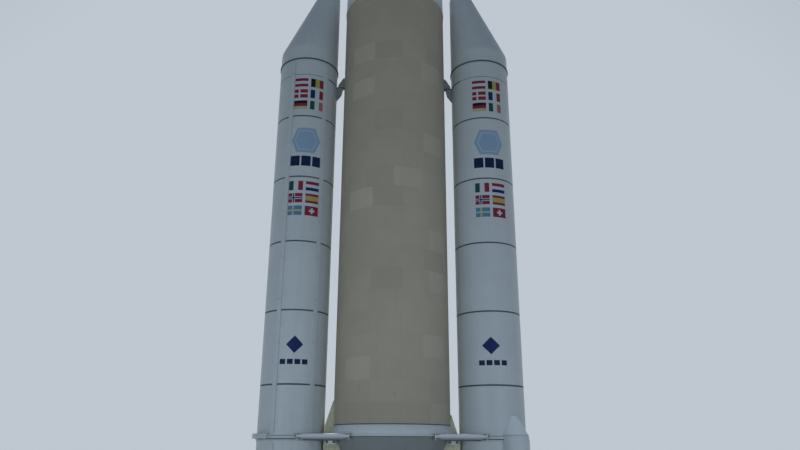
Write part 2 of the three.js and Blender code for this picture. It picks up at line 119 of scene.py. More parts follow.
def hoop(inner, outer, low, high, start=0.0, end=360.0, step=SIDE_STEP):
    """A ring of square section, or an arc of one: a band, a flange, or a plate bent on a drum."""
    return turned([(inner, low), (outer, low), (outer, high), (inner, high)], start, end, step)


def patch(radius, proud, low, high, middle, half):
    """A plate bent on a drum, from a middle angle to half degrees on each side."""
    return hoop(radius - SUNK, radius + proud, low, high, middle - half, middle + half)


# %% [markdown]
# ## Boxes, pipes and bolts
#
# The parts that aren't turned are boxes, pipes that follow a path, and bolt heads. A pipe is a
# circle carried along its path. Blender's curves can do that too, but a plain mesh keeps its exact
# radius and joins other parts in one piece.

# %% Boxes, pipes and bolts
UPRIGHT = 0.9  # a pipe whose direction has a z part above this counts as upright


def box(low, high):
    corners = [
        Vector((x, y, z))
        for x in (low[0], high[0]) for y in (low[1], high[1]) for z in (low[2], high[2])
    ]
    return corners, [(0, 1, 3, 2), (4, 6, 7, 5), (0, 4, 5, 1), (2, 3, 7, 6), (0, 2, 6, 4), (1, 5, 7, 3)]


def pipe(stops, sides=16):
    """A round pipe through (point, radius) stops, closed at both ends."""
    centres = [Vector(point) for point, _ in stops]
    points, faces = [], []
    for i, (_, radius) in enumerate(stops):
        along = centres[min(i + 1, len(stops) - 1)] - centres[max(i - 1, 0)]
        helper = Vector((1, 0, 0)) if abs(along.normalized().z) >= UPRIGHT else Vector((0, 0, 1))
        side = along.cross(helper).normalized()
        rise = side.cross(along).normalized()
        for k in range(sides):
            turn = 2 * math.pi * k / sides
            points.append(centres[i] + radius * (side * math.cos(turn) + rise * math.sin(turn)))
    for i in range(len(stops) - 1):
        for k in range(sides):
            here, there = i * sides + k, i * sides + (k + 1) % sides
            faces.append((here, there, there + sides, here + sides))
    faces += [tuple(range(sides - 1, -1, -1)), tuple(range(len(points) - sides, len(points)))]
    return points, faces


def rod(start, end, radius, sides=16):
    return pipe([(start, radius), (end, radius)], sides)


def bolt(centre, outward, radius, height):
    """A six-sided bolt head that stands on a face."""
    tip = Vector(centre) + Vector(outward).normalized() * height
    return rod(centre, tip, radius, sides=6)


def bolt_around(reach, degrees, height, radius, thickness):
    """A bolt head that points away from the upright axis."""
    return bolt(at_angle(reach, degrees, height), at_angle(1, degrees, 0), radius, thickness)


def placed(part, matrix):
    points, faces = part
    return [matrix @ point for point in points], faces


def turned_to(part, degrees):
    return placed(part, Matrix.Rotation(math.radians(degrees), 4, "Z"))


# %% [markdown]
# ## From parts to a piece
#
# A piece of the scene is one mesh made of several parts, each part with its own finish. The last
# step is always the same: scale to model size, point the faces outwards, shade smooth with sharp
# edges, round those edges with a Bevel modifier so that they catch the light, and let the piece
# ride on its body.


class Parts:
    """Points and faces in full-size metres, with a finish for each face."""

    def __init__(self, *parts):
        self.points, self.faces, self.finishes = [], [], []
        for part in parts:
            self.add(part)

    def add(self, part, finish=0):
        start = len(self.points)
        self.points += part[0]
        self.faces += [tuple(start + corner for corner in face) for face in part[1]]
        self.finishes += [finish] * len(part[1])


def make(name, parts, finishes, replaces=(), body="airframe", place=Matrix(), bevel=0.0, crease=35,
         closed=True):
    """Turn the parts into one Blender object that rides on a body and stands for some solids."""
    mesh = bpy.data.meshes.new(name)
    mesh.from_pydata([HALF * (place @ point) for point in parts.points], [], parts.faces)
    for finish in finishes:
        mesh.materials.append(finish)
    mesh.polygons.foreach_set("material_index", parts.finishes)
    if closed:
        shell = bmesh.new()
        shell.from_mesh(mesh)
        bmesh.ops.recalc_face_normals(shell, faces=shell.faces)
        shell.to_mesh(mesh)
        shell.free()
    mesh.shade_smooth()
    mesh.set_sharp_from_angle(angle=math.radians(crease))
    piece = bpy.data.objects.new(name, mesh)
    bpy.context.scene.collection.objects.link(piece)
    if bevel:
        rounding = piece.modifiers.new("rounded edges", "BEVEL")
        rounding.width = bevel * HALF
        rounding.segments = 2
        rounding.limit_method = "ANGLE"
        rounding.angle_limit = math.radians(crease)
        rounding.harden_normals = True
    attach(piece, body)
    if replaces:
        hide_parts(*replaces)
    return piece


# %% [markdown]
# ## Writing node trees
#
# Shader nodes can be placed by hand in the editor. In a script a few helpers keep them readable:
# one adds a node and links or sets its inputs, one does arithmetic, one maps a range onto another,
# and one mixes two colours. Two more start a node group with named sockets and place it in a tree.
# Most textures here are noise in the object's own space, so there are helpers for that as well.

# %% Helpers for node trees
def node(tree, kind, inputs=None, **settings):
    added = tree.nodes.new(kind)
    for name, value in settings.items():
        setattr(added, name, value)
    for name, value in (inputs or {}).items():
        if isinstance(value, bpy.types.NodeSocket):
            tree.links.new(value, added.inputs[name])
        else:
            added.inputs[name].default_value = value
    return added


def sums(tree, operation, first, second=0.0):
    return node(tree, "ShaderNodeMath", {0: first, 1: second}, operation=operation).outputs[0]


def stepped(tree, value, low, high, dark=0.0, light=1.0):
    """Map a value from the range low to high onto dark to light, and stop at both ends."""
    inputs = {"Value": value, "From Min": low, "From Max": high, "To Min": dark, "To Max": light}
    return node(tree, "ShaderNodeMapRange", inputs).outputs["Result"]


def mixed(tree, amount, first, second):
    added = node(tree, "ShaderNodeMix", data_type="RGBA")
    for index, value in ((0, amount), (6, first), (7, second)):
        if isinstance(value, bpy.types.NodeSocket):
            tree.links.new(value, added.inputs[index])
        else:
            added.inputs[index].default_value = value
    return added.outputs[2]


def own_place(tree):
    """Where the shaded point lies in its object's own space."""
    return node(tree, "ShaderNodeTexCoord").outputs["Object"]


def scaled(tree, vector, factors):
    return node(tree, "ShaderNodeVectorMath", {0: vector, 1: factors}, operation="MULTIPLY").outputs[0]


def noise(tree, place, scale, detail):
    return node(tree, "ShaderNodeTexNoise", {"Vector": place, "Scale": scale, "Detail": detail}).outputs[0]


def new_group(name, inputs, outputs):
    """A node group with named sockets: (name, kind, value) for inputs, (name, kind) for outputs."""
    tree = bpy.data.node_groups.new(name, "ShaderNodeTree")
    for label, kind, value in inputs:
        tree.interface.new_socket(label, in_out="INPUT", socket_type=kind).default_value = value
    for label, kind in outputs:
        tree.interface.new_socket(label, in_out="OUTPUT", socket_type=kind)
    return tree, tree.nodes.new("NodeGroupInput").outputs, tree.nodes.new("NodeGroupOutput")


def use(tree, group, **inputs):
    """Place a node group in a tree. Underscores in the names stand for spaces."""
    placed_group = node(tree, "ShaderNodeGroup", node_tree=group)
    for name, value in inputs.items():
        socket = placed_group.inputs[name.replace("_", " ")]
        if isinstance(value, bpy.types.NodeSocket):
            tree.links.new(value, socket)
        else:
            socket.default_value = value
    return placed_group.outputs


FLOAT = "NodeSocketFloat"

# %% [markdown]
# ## Rain streaks
#
# Rockets that stand outdoors are washed by rain, which leaves soft upright streaks below every
# joint. One way is to paint them. Here a noise texture is squeezed sideways and stretched upwards,
# so that its blobs turn into streaks on any upright surface, whichever way it faces.

# %% Group: rain streaks
STREAK_EDGE = 0.25  # how much noise lies between no streak and a full one

rain_streaks, given, result = new_group(
    "rain streaks",
    [("Width", FLOAT, 0.05), ("Length", FLOAT, 2.0), ("Cover", FLOAT, 0.4)],
    [("Mask", FLOAT)],
)
across = sums(rain_streaks, "DIVIDE", 1.0, given["Width"])
upward = sums(rain_streaks, "DIVIDE", 1.0, given["Length"])
squeeze = node(rain_streaks, "ShaderNodeCombineXYZ", {"X": across, "Y": across, "Z": upward}).outputs[0]
streak_noise = noise(rain_streaks, scaled(rain_streaks, own_place(rain_streaks), squeeze), 1.0, 5.0)
threshold = sums(rain_streaks, "SUBTRACT", 1.0, given["Cover"])
top = sums(rain_streaks, "ADD", threshold, STREAK_EDGE)
streak_mask = stepped(rain_streaks, streak_noise, threshold, top)
rain_streaks.links.new(streak_mask, result.inputs["Mask"])
print("group:", rain_streaks.name)

# %% [markdown]
# ## Clouding
#
# Large painted or sprayed surfaces are never one even tone. Two sizes of soft noise, added up, give
# a slow drift of tone between minus one and one.

# %% Group: clouding
FINER = 6.0  # how much smaller the second noise is
SLOW_SHARE, QUICK_SHARE = 1.3, 0.7
USUAL_SUM = (0.6, 1.4)  # the range in which the sum of both nearly always lies

clouding, given, result = new_group("clouding", [("Size", FLOAT, 1.0)], [("Tone", FLOAT)])
place_of = own_place(clouding)
slow = noise(clouding, place_of, sums(clouding, "DIVIDE", 1.0, given["Size"]), 2.0)
quick = noise(clouding, place_of, sums(clouding, "DIVIDE", FINER, given["Size"]), 4.0)
slow_part = sums(clouding, "MULTIPLY", slow, SLOW_SHARE)
quick_part = sums(clouding, "MULTIPLY", quick, QUICK_SHARE)
tone = stepped(clouding, sums(clouding, "ADD", slow_part, quick_part), *USUAL_SUM, -1.0, 1.0)
clouding.links.new(tone, result.inputs["Tone"])
print("group:", clouding.name)

# %% [markdown]
# ## Surface grain
#
# Paint shows a fine orange peel, and foam shows pits. Both are a height for a Bump node: fine noise,
# with pits from a Voronoi texture where they are asked for.

# %% Group: surface grain
PIT_EDGE = 0.35  # the distance from a cell's middle at which its pit ends

surface_grain, given, result = new_group(
    "surface grain", [("Size", FLOAT, 0.01), ("Pits", FLOAT, 0.0)], [("Height", FLOAT)])
place_of = own_place(surface_grain)
fine = sums(surface_grain, "DIVIDE", 1.0, given["Size"])
peel = noise(surface_grain, place_of, fine, 3.0)
cells = node(surface_grain, "ShaderNodeTexVoronoi", {"Vector": place_of, "Scale": fine}, feature="SMOOTH_F1")
pit_shape = stepped(surface_grain, cells.outputs[0], 0.0, PIT_EDGE, -1.0, 0.0)
pits = sums(surface_grain, "MULTIPLY", pit_shape, given["Pits"])
surface_grain.links.new(sums(surface_grain, "ADD", peel, pits), result.inputs["Height"])
print("group:", surface_grain.name)

# %% [markdown]
# ## Edge wear
#
# Paint thins out on edges that are handled and brushed against. The Geometry node's Pointiness is
# high on outer edges, and a noise breaks it up so that the wear isn't an even line.

# %% Group: edge wear
POINTED = (0.52, 0.62)  # Pointiness from the softest worn edge to the sharpest
BREAK_UP = (0.42, 0.62)  # noise from unworn spots to worn ones

edge_wear, given, result = new_group("edge wear", [("Amount", FLOAT, 0.5)], [("Mask", FLOAT)])
sharp = stepped(edge_wear, node(edge_wear, "ShaderNodeNewGeometry").outputs["Pointiness"], *POINTED)
broken = stepped(edge_wear, noise(edge_wear, own_place(edge_wear), 30.0, 6.0), *BREAK_UP)
worn = sums(edge_wear, "MULTIPLY", sums(edge_wear, "MULTIPLY", sharp, broken), given["Amount"])
edge_wear.links.new(worn, result.inputs["Mask"])
print("group:", edge_wear.name)

# %% [markdown]
# ## Dust on ledges
#
# Dust settles on what faces up: the tops of rings, brackets and shoulders. The z part of the
# surface's own direction says how much it faces up.

# %% Group: ledge dust
FACING_UP = (0.3, 0.9)  # from too steep for dust to level enough for all of it
PATCHES = (0.3, 0.7)  # noise from bare spots to dusty ones


def facing_up(tree):
    """One on a surface that faces up, minus one on one that faces down."""
    normal = node(tree, "ShaderNodeNewGeometry").outputs["Normal"]
    return node(tree, "ShaderNodeSeparateXYZ", {0: normal}).outputs["Z"]


ledge_dust, given, result = new_group("ledge dust", [("Amount", FLOAT, 0.6)], [("Mask", FLOAT)])
ledges = stepped(ledge_dust, facing_up(ledge_dust), *FACING_UP)
patchy = stepped(ledge_dust, noise(ledge_dust, own_place(ledge_dust), 9.0, 5.0), *PATCHES)
settled = sums(ledge_dust, "MULTIPLY", ledges, patchy)
ledge_dust.links.new(sums(ledge_dust, "MULTIPLY", settled, given["Amount"]), result.inputs["Mask"])
print("group:", ledge_dust.name)

# %% [markdown]
# ## Painted surfaces
#
# The boosters, rings and brackets are sprayed metal. One function builds each paint from the same
# groups with its own values: the base colour drifts with the clouding, darkens in the streaks,
# greys with dust and shows primer where edges are worn. The shader itself stays in the material.
# The struts have a paint of their own, lighter on top and darker below: painted light and shade.

# %% Painted surfaces
STREAK_TINT = (0.30, 0.29, 0.26, 1)
DUST_TINT = (0.42, 0.38, 0.32, 1)
WORN_TINT = (0.45, 0.46, 0.47, 1)
STREAK_SHARE = 0.18  # how far a full streak goes towards its tint
STREAK_ROUGHNESS = 0.12
DUST_ROUGHNESS = 0.25
PEEL = {"size": 0.012, "strength": 0.12, "distance": 0.002}


def start_material(name, slot, roughness, metallic=0.0, **sockets):
    material = bpy.data.materials.new(name)
    material.use_nodes = True
    material["slot"] = slot
    shader = material.node_tree.nodes["Principled BSDF"]
    shader.inputs["Roughness"].default_value = roughness
    shader.inputs["Metallic"].default_value = metallic
    for label, value in sockets.items():
        shader.inputs[label.replace("_", " ")].default_value = value
    return material, material.node_tree, shader


def grained(tree, shader, size, strength, distance, pits=0.0):
    """Give the surface a grain of a size in metres, with or without pits."""
    height = use(tree, surface_grain, Size=size, Pits=pits)["Height"]
    inputs = {"Height": height, "Strength": strength, "Distance": distance}
    tree.links.new(node(tree, "ShaderNodeBump", inputs).outputs[0], shader.inputs["Normal"])


def clouded(tree, colour, size, cloud):
    """A colour that drifts between a darker and a lighter one."""
    darker = tuple(channel * (1 - 2 * cloud) for channel in colour) + (1,)
    lighter = tuple(channel * (1 + cloud) for channel in colour) + (1,)
    drift = use(tree, clouding, Size=size)["Tone"]
    return mixed(tree, stepped(tree, drift, -1.0, 1.0), darker, lighter)


def paint(name, slot, colour, roughness, cloud=0.05, streak=0.35, wear=0.5, dusty=0.5):
    material, tree, shader = start_material(name, slot, roughness)
    base = clouded(tree, colour, 1.6, cloud)
    streaks = use(tree, rain_streaks, Width=0.10, Length=2.4, Cover=0.50)["Mask"]
    base = mixed(tree, sums(tree, "MULTIPLY", streaks, streak * STREAK_SHARE), base, STREAK_TINT)
    dust = use(tree, ledge_dust, Amount=dusty)["Mask"]
    base = mixed(tree, dust, base, DUST_TINT)
    edges = use(tree, edge_wear, Amount=wear)["Mask"]
    base = mixed(tree, edges, base, WORN_TINT)
    tree.links.new(base, shader.inputs["Base Color"])
    by_streaks = sums(tree, "MULTIPLY", streaks, STREAK_ROUGHNESS)
    by_dust = sums(tree, "MULTIPLY", dust, DUST_ROUGHNESS)
    dulled = sums(tree, "ADD", by_streaks, by_dust)
    tree.links.new(sums(tree, "ADD", dulled, roughness), shader.inputs["Roughness"])
    grained(tree, shader, **PEEL)
    return material


booster_paint = paint("booster paint", "booster_paint", (0.61, 0.655, 0.685), 0.42, cloud=0.035)
white_paint = paint("ring paint", "white_paint", (0.68, 0.72, 0.73), 0.45, cloud=0.03)
fairing_paint = paint("fairing paint", "fairing_paint", (0.68, 0.70, 0.70), 0.55, cloud=0.03, wear=0.2)
bracket_paint = paint("bracket paint", "grey_paint", (0.33, 0.35, 0.36), 0.5, streak=0.6)
frame_paint = paint("thrust frame paint", "grey_paint", (0.26, 0.28, 0.28), 0.55, streak=0.6)
# The blister's cone is painted paler than the boosters, as painted sunlight on it.
lit_cone_paint = paint(
    "lit cone paint", "booster_paint", (0.88, 0.91, 0.95), 0.5, cloud=0.02, streak=0.1, wear=0.0, dusty=0.1)
housing_paint = paint(
    "housing paint", "booster_paint", (0.64, 0.68, 0.71), 0.42, cloud=0.03, wear=0.0, dusty=0.1)
# The real joint bands' sealant; the same dark material also makes strips and plates of painted shadow.
sealant_and_painted_shade = paint("sealant and painted shade", "booster_paint", (0.10, 0.115, 0.13), 0.6, streak=0.3, wear=0.0)

# Painted light and shade: the strut is darker where it faces down and lighter where it faces up.
STRUT_SHADED_TONE = (0.30, 0.31, 0.34, 1)
STRUT_LIT_TONE = (0.93, 0.94, 0.97, 1)
STRUT_LIGHT_FADE = (-0.7, 0.7)  # facing up, from fully painted shade to fully painted light
strut_paint, tree, shader = start_material("strut paint", "steel", 0.42)
base = mixed(tree, stepped(tree, facing_up(tree), *STRUT_LIGHT_FADE), STRUT_SHADED_TONE, STRUT_LIT_TONE)
grime = use(tree, rain_streaks, Width=0.08, Length=0.3, Cover=0.4)["Mask"]
base = mixed(tree, sums(tree, "MULTIPLY", grime, 0.15), base, STREAK_TINT)
tree.links.new(base, shader.inputs["Base Color"])
grained(tree, shader, **PEEL)
print("paints:", len(bpy.data.materials))

# %% [markdown]
# ## Foam insulation
#
# The core's tank is covered with foam panels that sun and weather have turned tan, each in a
# slightly different tone. The mesh stores a tone for each panel in an attribute, which this
# material reads. A procedural brick texture could give the tones as well, but then the panels'
# seams in the mesh and in the colour would not be sure to match.

# %% Foam insulation
PANEL_TONE = "panel_tone"
FOAM = (0.49, 0.434, 0.345)
PALE_FOAM = (0.625, 0.57, 0.465, 1)
DEEP_FOAM = (0.396, 0.345, 0.264, 1)
FLARE_FOAM = (0.65, 0.63, 0.46)
VENT_FOAM = (0.455, 0.405, 0.32)
FOAM_STREAK = (0.36, 0.30, 0.21, 1)
MOTTLE = (0.30, 0.27, 0.16, 1)
PANEL_CONTRAST = 0.38  # how far the palest and darkest panels go towards those two colours


def foam(name, colour=FOAM, cloud=0.05, mottle=0.0):
    material, tree, shader = start_material(name, "tank_insulation", 0.85, Specular_IOR_Level=0.25)
    base = clouded(tree, colour, 2.4, cloud)
    panel = node(tree, "ShaderNodeAttribute", attribute_name=PANEL_TONE).outputs["Fac"]
    base = mixed(tree, stepped(tree, panel, 0.0, 1.0, 0.0, PANEL_CONTRAST), base, PALE_FOAM)
    base = mixed(tree, stepped(tree, panel, 0.0, -1.0, 0.0, PANEL_CONTRAST), base, DEEP_FOAM)
    streaks = use(tree, rain_streaks, Width=0.06, Length=2.5, Cover=0.5)["Mask"]
    base = mixed(tree, sums(tree, "MULTIPLY", streaks, 0.10), base, FOAM_STREAK)
    if mottle:
        blotch = node(tree, "ShaderNodeTexNoise", {"Scale": 9.0, "Detail": 4.0}).outputs[0]
        spots = sums(tree, "MULTIPLY", stepped(tree, blotch, 0.5, 0.62), mottle)
        base = mixed(tree, spots, base, MOTTLE)
    tree.links.new(base, shader.inputs["Base Color"])
    grained(tree, shader, 0.02, 0.25, 0.006, pits=0.5)
    return material


tank_foam = foam("tank foam")
flare_foam = foam("flare foam", FLARE_FOAM, cloud=0.08, mottle=0.35)
vent_foam = foam("vent cover foam", VENT_FOAM)

# %% [markdown]
# ## Metals
#
# The engines' bells are dark, heat-stained metal, and the gimbals and pins are bare steel. Heat
# stains run around a bell in bands, so the noise that colours them is stretched sideways.

# %% Metals
INTO_BANDS = (0.6, 0.6, 5.0)  # x, y and z factors, which make the noise wide and low


def metal(name, slot, colour, roughness, stain, metallic=0.9):
    material, tree, shader = start_material(name, slot, roughness, metallic)
    heat = noise(tree, scaled(tree, own_place(tree), INTO_BANDS), 2.0, 6.0)
    base = mixed(tree, stepped(tree, heat, 0.35, 0.7), colour + (1,), stain + (1,))
    edges = use(tree, edge_wear, Amount=0.6)["Mask"]
    base = mixed(tree, edges, base, tuple(min(1, 1.8 * channel) for channel in colour) + (1,))
    tree.links.new(base, shader.inputs["Base Color"])
    uneven = stepped(tree, heat, 0.2, 0.8, roughness - 0.08, roughness + 0.15)
    tree.links.new(uneven, shader.inputs["Roughness"])
    grained(tree, shader, 0.006, 0.1, 0.001)
    return material


bare_steel = metal("bare steel", "steel", (0.52, 0.53, 0.55), 0.32, (0.40, 0.40, 0.41))
bell_metal = metal("bell metal", "nozzle_metal", (0.12, 0.12, 0.13), 0.42, (0.20, 0.16, 0.12))
throat_soot = metal("throat soot", "nozzle_metal", (0.018, 0.017, 0.016), 0.8, (0.05, 0.045, 0.04), 0.2)
engine_metal = metal("engine metal", "steel", (0.38, 0.38, 0.38), 0.38, (0.26, 0.22, 0.18))
print("materials:", len(bpy.data.materials))

# %% [markdown]
# ## Coloured foils
#
# The flags and the plain blue marks on the boosters are thin coloured foils. Outdoors their colour
# fades unevenly, and they turn a little duller than the paint around them.

# %% Coloured foils
FOIL_COLOURS = {
    "white": (0.64, 0.65, 0.69),
    "red": (0.27, 0.022, 0.05),
    "blue": (0.008, 0.024, 0.13),
    "navy": (0.005, 0.016, 0.075),
    "sky": (0.30, 0.44, 0.61),
    "pale_blue": (0.44, 0.55, 0.67),
    "light_blue": (0.09, 0.26, 0.42),
    "green": (0.010, 0.085, 0.08),
    "orange": (0.42, 0.17, 0.12),
    "yellow": (0.50, 0.40, 0.12),
    "pale_yellow": (0.52, 0.49, 0.30),
    "black": (0.008, 0.009, 0.010),
}


def foil(name, colour):
    material, tree, shader = start_material(name + " foil", "booster_paint", 0.4, Specular_IOR_Level=0.2)
    drift = use(tree, clouding, Size=0.5)["Tone"]
    faded = tuple(channel * 0.9 + 0.01 for channel in colour) + (1,)
    base = mixed(tree, stepped(tree, drift, -1.0, 1.0), colour + (1,), faded)
    streaks = use(tree, rain_streaks, Width=0.035, Length=1.4, Cover=0.5)["Mask"]
    base = mixed(tree, sums(tree, "MULTIPLY", streaks, 0.05), base, STREAK_TINT)
    tree.links.new(base, shader.inputs["Base Color"])
    grained(tree, shader, 0.012, 0.08, 0.001)
    return material


foils = [foil(name, colour) for name, colour in FOIL_COLOURS.items()]
FOIL_INDEX = {name: index for index, name in enumerate(FOIL_COLOURS)}
print("foils:", len(foils))

# %% [markdown]
# ## Refining a solid
#
# A few small solids already have the right form and only need softer shading: gimbals, brackets and
# fittings. Their mesh is copied, its doubled corners are merged, and it is shaded smooth with
# rounded edges. The copy stands for the solid.

# %% Refine a solid
def refined(solid, finish, body="airframe", bevel=0.02, crease=32, extra=(), extra_finishes=(), keep=None):
    """A finer copy of a solid, or of the part of it between two heights, with extra parts added."""
    shell = bmesh.new()
    shell.from_mesh(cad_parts[solid].data)
    for height, sign in zip(keep or (), (1, -1)):
        everything = [*shell.verts, *shell.edges, *shell.faces]
        cut = {"plane_co": (0, 0, height * HALF), "plane_no": (0, 0, sign), "clear_inner": True}
        bmesh.ops.bisect_plane(shell, geom=everything, **cut)
    bmesh.ops.remove_doubles(shell, verts=shell.verts, dist=0.0002)
    bmesh.ops.dissolve_limit(shell, angle_limit=math.radians(1), verts=shell.verts, edges=shell.edges)
    shell.verts.index_update()
    points = [vertex.co / HALF for vertex in shell.verts]
    faces = [tuple(vertex.index for vertex in face.verts) for face in shell.faces]
    shell.free()
    parts = Parts((points, faces))
    for part, index in extra:
        parts.add(part, index)
    make(solid + "_fine", parts, [finish, *extra_finishes], [solid], body, bevel=bevel, crease=crease)


# %% [markdown]
# ## The tank's foam panels
#
# The tank is a drum wrapped in foam blocks, about one metre high and a twelfth of the way round,
# laid in rows like bricks. Bump could fake the seams, but a groove in the mesh gives a true edge and
# stays with the exported model. The drum is a grid of columns and rows with a shallow V along each
# seam. A few panels are newer and paler, and a few are darker, at the places where they show. Low on
# the front two small upright covers lie over vents.

# %% Build the foam panels
ROW_HEIGHT = 1.0
FIRST_SEAM = 7.25
SEAMS = 21  # level ones, each between two rows
SEAM = 0.014  # how wide a seam is
SEAM_DEPTH = 0.006
PANELS_AROUND = 12
PANEL_ANGLE = 360.0 / PANELS_AROUND
PANEL_SIDES = 16  # flat sides across a panel
USUAL_TONE = 0.16  # how pale or dark a panel may be that doesn't stand out
FIRST_COLUMN = -52.0
SHIFTED_ROWS = {3: -8, 7: -6, 11: -8, 13: -6, 17: -8, 5: -4, 15: -5, 20: -7}
# Panels that stand out: (row, column) and how pale or dark.
ODD_PANELS = {
    (18, 0): 0.9, (16, 0): 0.9, (17, 3): 0.75, (18, 1): -0.8, (18, 3): -0.5, (14, 1): -0.75, (13, 3): 0.8,
    (11, 2): 0.7, (11, 1): -0.6, (10, 0): 1.0, (10, 1): -0.8, (6, 1): -0.8, (6, 3): 0.8, (8, 3): 0.6,
    (7, 3): -0.7, (3, 3): 0.8, (2, 0): 0.9, (4, 0): -0.35, (1, 3): -0.35, (0, 0): -0.7, (0, 1): -0.8,
    (0, 2): -0.5, (0, 3): 0.3, (12, 7): 0.8, (9, 8): -0.7, (15, 6): 0.7, (5, 9): 0.8, (19, 8): -0.6,
}
VENTS = ((-32.9, 7.93), (2.0, 7.60))  # degrees and height

row_edges = [tank_low.z] + [FIRST_SEAM + ROW_HEIGHT * i for i in range(SEAMS)] + [tank_high.z]
seam_angle = math.degrees(SEAM / CORE_RADIUS)
flat_angle = PANEL_ANGLE - seam_angle
flat = [seam_angle / 2 + flat_angle * i / PANEL_SIDES for i in range(PANEL_SIDES + 1)]
chance = random.Random(7)
tank_points, tank_faces, tank_tones = [], [], []
for row, (low, high) in enumerate(zip(row_edges, row_edges[1:])):
    shift = FIRST_COLUMN + SHIFTED_ROWS.get(row, 0)
    levels = [(low, SEAM_DEPTH), (low + SEAM / 2, 0), (high - SEAM / 2, 0), (high, SEAM_DEPTH)]
    for column in range(PANELS_AROUND):
        left = shift + PANEL_ANGLE * column
        middle = [(left + angle, 0) for angle in flat]
        columns = [(left, SEAM_DEPTH), *middle, (left + PANEL_ANGLE, SEAM_DEPTH)]
        tone_here = ODD_PANELS.get((row, column), chance.uniform(-USUAL_TONE, USUAL_TONE))
        start = len(tank_points)
        for angle, sunk in columns:
            tank_points += [at_angle(CORE_RADIUS - max(sunk, deep), angle, z) for z, deep in levels]
        for i in range(len(columns) - 1):
            for k in range(len(levels) - 1):
                here = start + i * len(levels) + k
                tank_faces.append((here, here + len(levels), here + len(levels) + 1, here + 1))
                tank_tones.append(tone_here)
tank = Parts((tank_points, tank_faces))
core_tank = make("core_tank_foam", tank, [tank_foam], ["core_tank"], crease=30, closed=False)
tone_layer = core_tank.data.attributes.new(PANEL_TONE, "FLOAT", "FACE")
tone_layer.data.foreach_set("value", tank_tones)
print("tank panels:", PANELS_AROUND * (len(row_edges) - 1), "faces:", len(tank_faces))

tank_vents = Parts()
for angle, height in VENTS:
    tank_vents.add(patch(CORE_RADIUS, 0.008, height - 0.14, height + 0.14, angle, 1))
make("tank_vent_covers", tank_vents, [vent_foam], bevel=0.003)

# %% [markdown]
# ## Rings and skirts of the core
#
# Above and below the tank the core is plain painted metal, joined by bolted flanges. The aft ring is
# the white band above the engine's cone. Its lower flange stands a little proud and catches light, and
# a thin dark band under it is painted shadow. Lugs taper outwards from the ring at both sides, each
# with a clevis and two pins below it.

# %% Rings and skirts of the core
ring_low, ring_high = span("core_aft_ring")
skirt_low, skirt_high = span("core_forward_skirt")
stage_low, stage_high = span("upper_stage")
bay_low, bay_high = span("equipment_bay")


def bolt_circle(reach, height, count, radius):
    return [bolt_around(reach, 360 * i / count, height, radius, radius * 0.8) for i in range(count)]


def flanged_drum(low, high, proud=0.03, lip=0.07):
    """A drum of the core's width with a square flange at each end."""
    return turned([
        (0, low), (CORE_RADIUS + proud, low), (CORE_RADIUS + proud, low + lip), (CORE_RADIUS, low + lip),
        (CORE_RADIUS, high - lip), (CORE_RADIUS + proud, high - lip), (CORE_RADIUS + proud, high), (0, high),
    ])


aft_ring = Parts(turned([
    (0, ring_low.z), (CORE_RADIUS + 0.03, ring_low.z), (CORE_RADIUS + 0.03, ring_low.z + 0.07),
    (CORE_RADIUS, ring_low.z + 0.09), (CORE_RADIUS, ring_high.z - 0.03), (CORE_RADIUS - 0.02, ring_high.z),
    (0, ring_high.z),
]))
for head in bolt_circle(CORE_RADIUS + 0.03, ring_low.z + 0.035, 120, 0.014):
    aft_ring.add(head, 1)
DARK_BAND_WIDTH = 0.03
DARK_BAND_OVERLAP = 0.005
shadow_below_ring = (ring_low.z - DARK_BAND_WIDTH + DARK_BAND_OVERLAP, ring_low.z + DARK_BAND_OVERLAP)
upper_seam = (ring_high.z - DARK_BAND_OVERLAP, ring_high.z + DARK_BAND_WIDTH)
# The dark band under the ring is painted shadow; the one at its top is a dark seam.
for edges in (shadow_below_ring, upper_seam):
    aft_ring.add(hoop(CORE_RADIUS - 0.02, CORE_RADIUS + 0.022, *edges), 2)

LUG_REACH = 2.89
LUG_MIDDLE = 69.0  # degrees from the front
LUG_HALF = 9.0
CLEVIS_X, CLEVIS_Y, CLEVIS_HEIGHT = 2.715, 1.20, 5.65
PIN_OFFSET = 0.155
for side in (-1, 1):
    for behind in (-1, 1):
        middle = side * (90 + behind * (90 - LUG_MIDDLE))
        aft_ring.add(turned([
            (CORE_RADIUS, ring_low.z + 0.01), (LUG_REACH, ring_low.z + 0.03), (LUG_REACH, ring_low.z + 0.08),
            (CORE_RADIUS + 0.02, ring_high.z - 0.09), (CORE_RADIUS, ring_high.z - 0.09),
        ], middle - LUG_HALF, middle + LUG_HALF))
        x, y = side * CLEVIS_X, behind * CLEVIS_Y
        plate_top = ring_low.z + 0.03
        aft_ring.add(box((x - 0.20, y - 0.05, CLEVIS_HEIGHT - 0.09), (x + 0.20, y + 0.05, plate_top)))
        for pin_x in (x - PIN_OFFSET, x + PIN_OFFSET):
            aft_ring.add(rod((pin_x, y - 0.09, CLEVIS_HEIGHT), (pin_x, y + 0.09, CLEVIS_HEIGHT), 0.06), 2)
make("core_aft_ring_fine", aft_ring, [white_paint, bare_steel, sealant_and_painted_shade], ["core_aft_ring"], bevel=0.008)

HATCH_SPAN = (29.2, 29.75)
forward_skirt = Parts(flanged_drum(skirt_low.z, skirt_high.z))
for angle in range(0, 360, 30):
    forward_skirt.add(patch(CORE_RADIUS, 0.012, *HATCH_SPAN, angle + 15, 4))
for head in bolt_circle(CORE_RADIUS + 0.03, skirt_low.z + 0.035, 120, 0.014):
    forward_skirt.add(head, 1)
make("core_forward_skirt_fine", forward_skirt, [white_paint, bare_steel], ["core_forward_skirt"], bevel=0.008)

# %% [markdown]
# ## Upper stage and equipment bay
#
# The upper stage's shell is stiffened by upright stringers, and the equipment bay above it is a
# darker ring with hatches all round. Stringers could be an array along a circle; a loop of thin
# upright plates bent to the drum does the same and joins the shell in one mesh.

